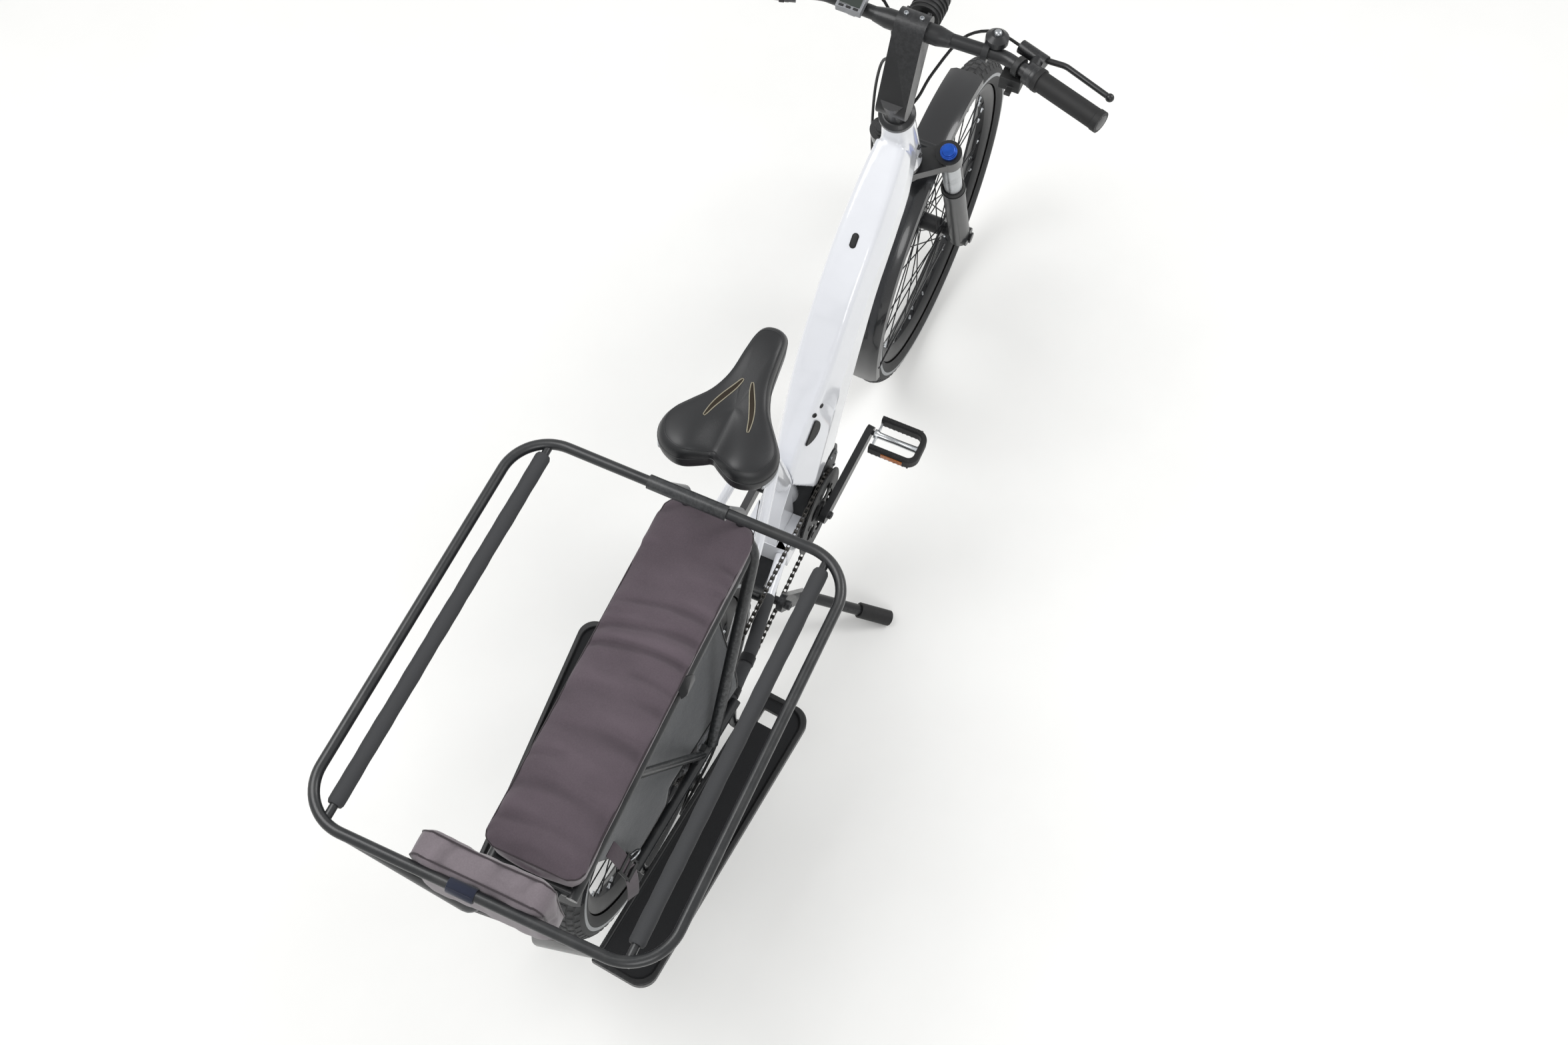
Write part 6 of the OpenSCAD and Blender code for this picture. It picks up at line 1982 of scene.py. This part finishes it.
@dataclass
class FrameFittings:
    """Small fittings: button, grommets, stay sleeve, saddle clamp, stand rings, valves and fork seals."""

    stay: tuple[tuple[float, float, float], ...] = ((-205, 47, 321), (-330, 66, 327), (-510, 74, 342))
    strap_x: tuple[float, float] = (-338.0, -403.0)
    clamp_at: tuple[float, float, float] = (-216.2, 0.0, 932.8)
    knee: tuple[float, float, float] = (-80.0, 66.0, 105.0)
    foot: tuple[float, float, float] = (-14.0, 218.0, 12.0)
    ring_from_knee: float = 17.0
    leg_y: float = 62.0
    seal_up: float = 290.0
    seal_ahead: float = 40.0

    def build(self) -> None:
        """Makes the pieces."""
        tube = node_surface("down_tube")
        self.button(tube)
        self.grommets(tube)
        self.stay_sleeve()
        self.saddle_clamp()
        self.stand_rings()
        self.valves()
        self.seals()

    def button(self, tube: BVHTree) -> None:
        """The oval push button on top of the down tube."""
        hit, normal, _, _ = tube.ray_cast(at(218, 0, 1000), DOWN)
        ahead = LEFT.cross(normal).normalized()
        shape, rows = Shape(), []
        turns = [2 * math.pi * k / 40 for k in range(40)]
        half_l, radius = 7.2, 5.2
        levels = ((1.12, -1), (1.12, 0.7), (1.0, 1.2), (0.9, 0.9), (0.85, 1.6), (0.6, 2.3), (0.1, 2.5))
        for scale, up in levels:
            row = []
            for a in turns:
                end = half_l if math.cos(a) > 0 else -half_l
                side = Vector((0, radius * scale * math.sin(a), 0))
                row.append(hit + (ahead * (end + radius * scale * math.cos(a)) + side + normal * up) * MM)
            rows.append(row)
        shape.grid(rows)
        shape.piece("tube_button", "frame", Surface.RUBBER, degrees=40)

    def grommets(self, tube: BVHTree) -> None:
        """Two cable grommets above the half-round cover."""
        low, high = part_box("port_covers")
        shape = Shape()
        for dx, dz in ((0.012, 0.012), (0.03, 0.02)):
            start = Vector(((low[0] + high[0]) / 2 + dx, -0.3, high[2] + dz))
            hit, normal, _, _ = tube.ray_cast(start, LEFT)
            if hit is None:
                continue
            rows = ((0, 0.4), (1.8, 0.6), (2.4, 1.8), (4.2, 1.6), (4.8, -0.5))
            shape.turned(rows, hit, normal, 24)
        if shape.faces:
            shape.piece("cable_grommets", "frame", Surface.RUBBER, degrees=30)

    def stay_sleeve(self) -> None:
        """The padded sleeve on the right chain stay, with the two straps round it."""
        a, b, c = (at(x, -y, z) for x, y, z in self.stay)
        line = [a.lerp(b, k) for k in (0.0, 0.35, 0.65, 0.9)]
        line += [b.lerp(c, k) for k in (0.1, 0.3, 0.46, 0.61)]
        fine = spline(line, 8)

        def radius(share: float) -> float:
            """The sleeve's radius, which is less at its ends."""
            end = max(0.0, 1 - min(share, 1 - share) * 26)
            return (12.3 - 1.0 * end**2 + 0.25 * math.sin(share * 37)) * MM

        shape = Shape()
        shape.tube(fine, radius, 24)
        piece = shape.piece("stay_sleeve", "frame", Surface.FOAM, degrees=60)
        straps = Shape()
        for x in self.strap_x:
            i = min(range(len(fine)), key=lambda k: abs(fine[k].x / MM - ORIGIN_X - x))
            ahead = (fine[i + 1] - fine[i - 1]).normalized()
            ribbon(straps, loop_round(fine[i], ahead, 13.2, 30, 350), ahead, 17, 1.5)
            ribbon(straps, loop_round(fine[i], ahead, 14.7, -60, 110), ahead, 17, 1.5)
        straps.piece("stay_straps", "frame", Surface.WEB_BLACK, bevel_mm=0.3)

    def saddle_clamp(self) -> None:
        """The bright clamp that holds the saddle's rails."""
        shape = Shape()
        head = at(*self.clamp_at)
        for y in (-22, 22):
            section = ((-17, 3), (17, 3), (15, 13), (-15, 13))
            shape.grid([[head + Vector((x, y + w, z)) * MM for x, z in section] for w in (-6, 6)])
        shape.turned(((0, -34), (4, -34), (4, 34), (0, 34)), head + Vector((0, 0, 0.004)), LEFT, 20)
        shape.piece("saddle_clamp", "frame", Surface.STEEL, bevel_mm=0.8)

    def stand_rings(self) -> None:
        """Bright rings where the stand's legs leave their links."""
        for side, name in ((1, "left"), (-1, "right")):
            knee, foot = (at(x, side * y, z) for x, y, z in (self.knee, self.foot))
            axis = (foot - knee).normalized()
            shape = Shape()
            rows = ((11.1, -3.5), (12.6, -3.0), (12.9, 0), (12.6, 3.0), (11.1, 3.5))
            shape.turned(rows, knee + axis * self.ring_from_knee * MM, axis, 32)
            shape.piece(f"stand_ring_{name}", "stand", Surface.STEEL)

    def valves(self) -> None:
        """A valve in each rim."""
        for body, axle, turn in (("front_wheel", FRONT_AXLE, 0.9), ("rear_wheel", REAR_AXLE, 2.6)):
            inward = Vector((-math.cos(turn), 0, -math.sin(turn)))
            shape = Shape()
            rows = ((0, 34), (2.2, 34), (2.6, 22), (4.0, 21), (4.0, 4), (5.4, 3), (5.4, -1))
            shape.turned(rows, at(*axle) - inward * RIM_IN_R * MM, inward, 16)
            shape.piece(f"{body}_valve", body, Surface.RUBBER)

    def seals(self) -> None:
        """Black dust seals where the fork's stanchions enter its lowers."""
        ahead, shape = Vector((STEER_AXIS.z, 0, -STEER_AXIS.x)), Shape()
        for y in (-self.leg_y, self.leg_y):
            leg = STEER_AXIS * self.seal_up + ahead * self.seal_ahead + Vector((0, y, 0))
            top = at(*STEER_FOOT) + leg * MM
            rows = ((17.4, -1), (21.5, -1), (21.5, 4), (19.5, 9), (17.4, 10))
            shape.turned(rows, top, STEER_AXIS, 40)
        shape.piece("fork_seals", "steering", Surface.RUBBER, degrees=30)


@dataclass
class RigidDress:
    """CAD nodes whose shape is right, with softened edges and their own finish."""

    rows: tuple[tuple[str, Surface, float, float], ...] = (
        ("seat_tube", Surface.PAINT, 2.0, 30), ("rear_stays", Surface.PAINT, 1.0, 34),
        ("motor", Surface.MOTOR, 2.5, 30), ("port_covers", Surface.RUBBER, 1.0, 30),
        ("seat_post", Surface.BLACK_METAL, 1.5, 34), ("saddle_rails", Surface.STEEL, 0.0, 40),
        ("rack", Surface.RAIL, 0.6, 40), ("safety_rail", Surface.RAIL, 0.5, 40),
        ("rear_mudguard", Surface.MUDGUARD, 0.5, 34), ("rear_caliper", Surface.BLACK_METAL, 2.0, 34),
        ("rear_derailleur", Surface.PLASTIC, 0.8, 36), ("stand_bracket", Surface.BLACK_METAL, 1.2, 34),
        ("stand_legs", Surface.BLACK_METAL, 1.5, 34), ("stand_feet", Surface.RUBBER, 2.0, 34),
        ("fork_crown", Surface.CROWN, 1.8, 34), ("fork_lowers", Surface.FORK, 1.6, 34),
        ("front_axle", Surface.BLACK_METAL, 0.8, 34), ("fork_knobs", Surface.BLUE, 1.0, 34),
        ("headset_cover", Surface.SATIN, 1.5, 24), ("stem", Surface.BLACK_METAL, 2.5, 30),
        ("handlebar", Surface.BLACK_METAL, 0.0, 40), ("brake_levers", Surface.BLACK_METAL, 1.0, 36),
        ("shifter", Surface.PLASTIC, 2.5, 34), ("bell", Surface.SATIN, 1.2, 28),
        ("display", Surface.GREY, 3.0, 34), ("headlight", Surface.PLASTIC, 1.4, 34),
        ("front_mudguard", Surface.MUDGUARD, 0.5, 34), ("front_caliper", Surface.BLACK_METAL, 2.0, 34),
        ("front_rim", Surface.RIM, 0.5, 34), ("rear_rim", Surface.RIM, 0.5, 34),
        ("front_spokes", Surface.SPOKE, 0.0, 40), ("rear_spokes", Surface.SPOKE, 0.0, 40),
        ("front_hub", Surface.BLACK_METAL, 0.8, 34), ("rear_hub", Surface.BLACK_METAL, 0.8, 34),
        ("front_disc", Surface.STEEL, 0.2, 34), ("rear_disc", Surface.STEEL, 0.2, 34),
        ("cassette", Surface.CASSETTE, 0.2, 30), ("cranks", Surface.SATIN, 2.5, 34),
        ("chainring", Surface.PLASTIC, 0.5, 34), ("grip_left", Surface.RUBBER, 1.5, 34),
        ("grip_right", Surface.RUBBER, 1.5, 34), ("footboard_left", Surface.BOARD_EDGE, 2.4, 34),
        ("footboard_right", Surface.BOARD_EDGE, 2.4, 34), ("rear_lamp", Surface.PLASTIC, 2.0, 34),
    )

    def fused(
        self, name: str, nodes: Sequence[str], surface: Surface, voxel_mm: float, passes: int
    ) -> None:
        """CAD nodes that are one welded, painted shell: joined, evenly meshed and smoothed.

        Args:
            name: Piece name.
            nodes: The nodes.
            surface: Finish.
            voxel_mm: Mesh step.
            passes: Times that the joint edges are smoothed.
        """
        shape = Shape()
        for node in nodes:
            mesh = _frame["nodes"][node].data
            shape.add([v.co for v in mesh.vertices], [f.vertices[:] for f in mesh.polygons])
        self.head_bridge(shape)
        piece = add_object(name, shape.mesh(name, 180))
        even = piece.modifiers.new("even", "REMESH")
        even.mode, even.voxel_size, even.use_smooth_shade = "VOXEL", voxel_mm * MM, True
        soft = piece.modifiers.new("soft", "SMOOTH")
        soft.factor, soft.iterations = 0.5, passes
        settle(piece, _frame["body"][nodes[0]], surface, nodes)

    def head_bridge(self, shape: Shape) -> None:
        """Adds the web between the head tube's rear wall and the wide end of the down tube."""
        work, foot = bmesh.new(), at(*STEER_FOOT)
        ahead = Vector((STEER_AXIS.z, 0, -STEER_AXIS.x))
        head = [v.co for v in _frame["nodes"]["head_tube"].data.vertices]
        tube = [v.co for v in _frame["nodes"]["down_tube"].data.vertices]
        front = max(p.x for p in tube)
        rear_wall, tube_end = -19.8 * MM, front - 30 * MM
        used = [p for p in head if (p - foot).dot(ahead) < rear_wall] + [p for p in tube if p.x > tube_end]
        for p in used:
            work.verts.new(p)
        bmesh.ops.convex_hull(work, input=work.verts)
        work.verts.index_update()
        shape.add([v.co for v in work.verts], [[v.index for v in f.verts] for f in work.faces])
        work.free()

    def build(self) -> None:
        """Dresses every node of the list."""
        self.fused("main_tube", ("down_tube", "head_tube"), Surface.PAINT, 2.6, 9)
        for node, surface, bevel, degrees in self.rows:
            piece = refined(node, surface, bevel, degrees)
            zone = ZONES.get(node)
            if zone:
                piece.data.materials.append(material(zone.surface.value))
                for face in piece.data.polygons:
                    face.material_index = int(zone.holds(face))


def main() -> None:
    """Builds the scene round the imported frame."""
    logging.basicConfig(level=logging.INFO, format="%(name)s: %(message)s")
    _frame.update(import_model())
    _frame["body"] = {n: b for b, ns in _frame["record"]["behaviour"]["bodies"].items() for n in ns}
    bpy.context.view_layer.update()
    studio = Studio()
    studio.camera()
    for cord in CORDS:
        cord.build()
    studio.floor()
    studio.lights()
    RigidDress().build()
    Wheel("front_wheel", "front_tyre", FRONT_AXLE, 34.0).build()
    Wheel("rear_wheel", "rear_tyre", REAR_AXLE, 55.0).build()
    Chain().build()
    SoftGoods().build()
    Saddle().build()
    Pedal("pedal_right", (152.8, 379.5), -1).build()
    Pedal("pedal_left", (-152.8, 230.5), 1).build()
    Cockpit().build()
    FrameFittings().build()
    for bolts in BOLTS:
        bolts.build()


if __name__ == "__main__":
    main()
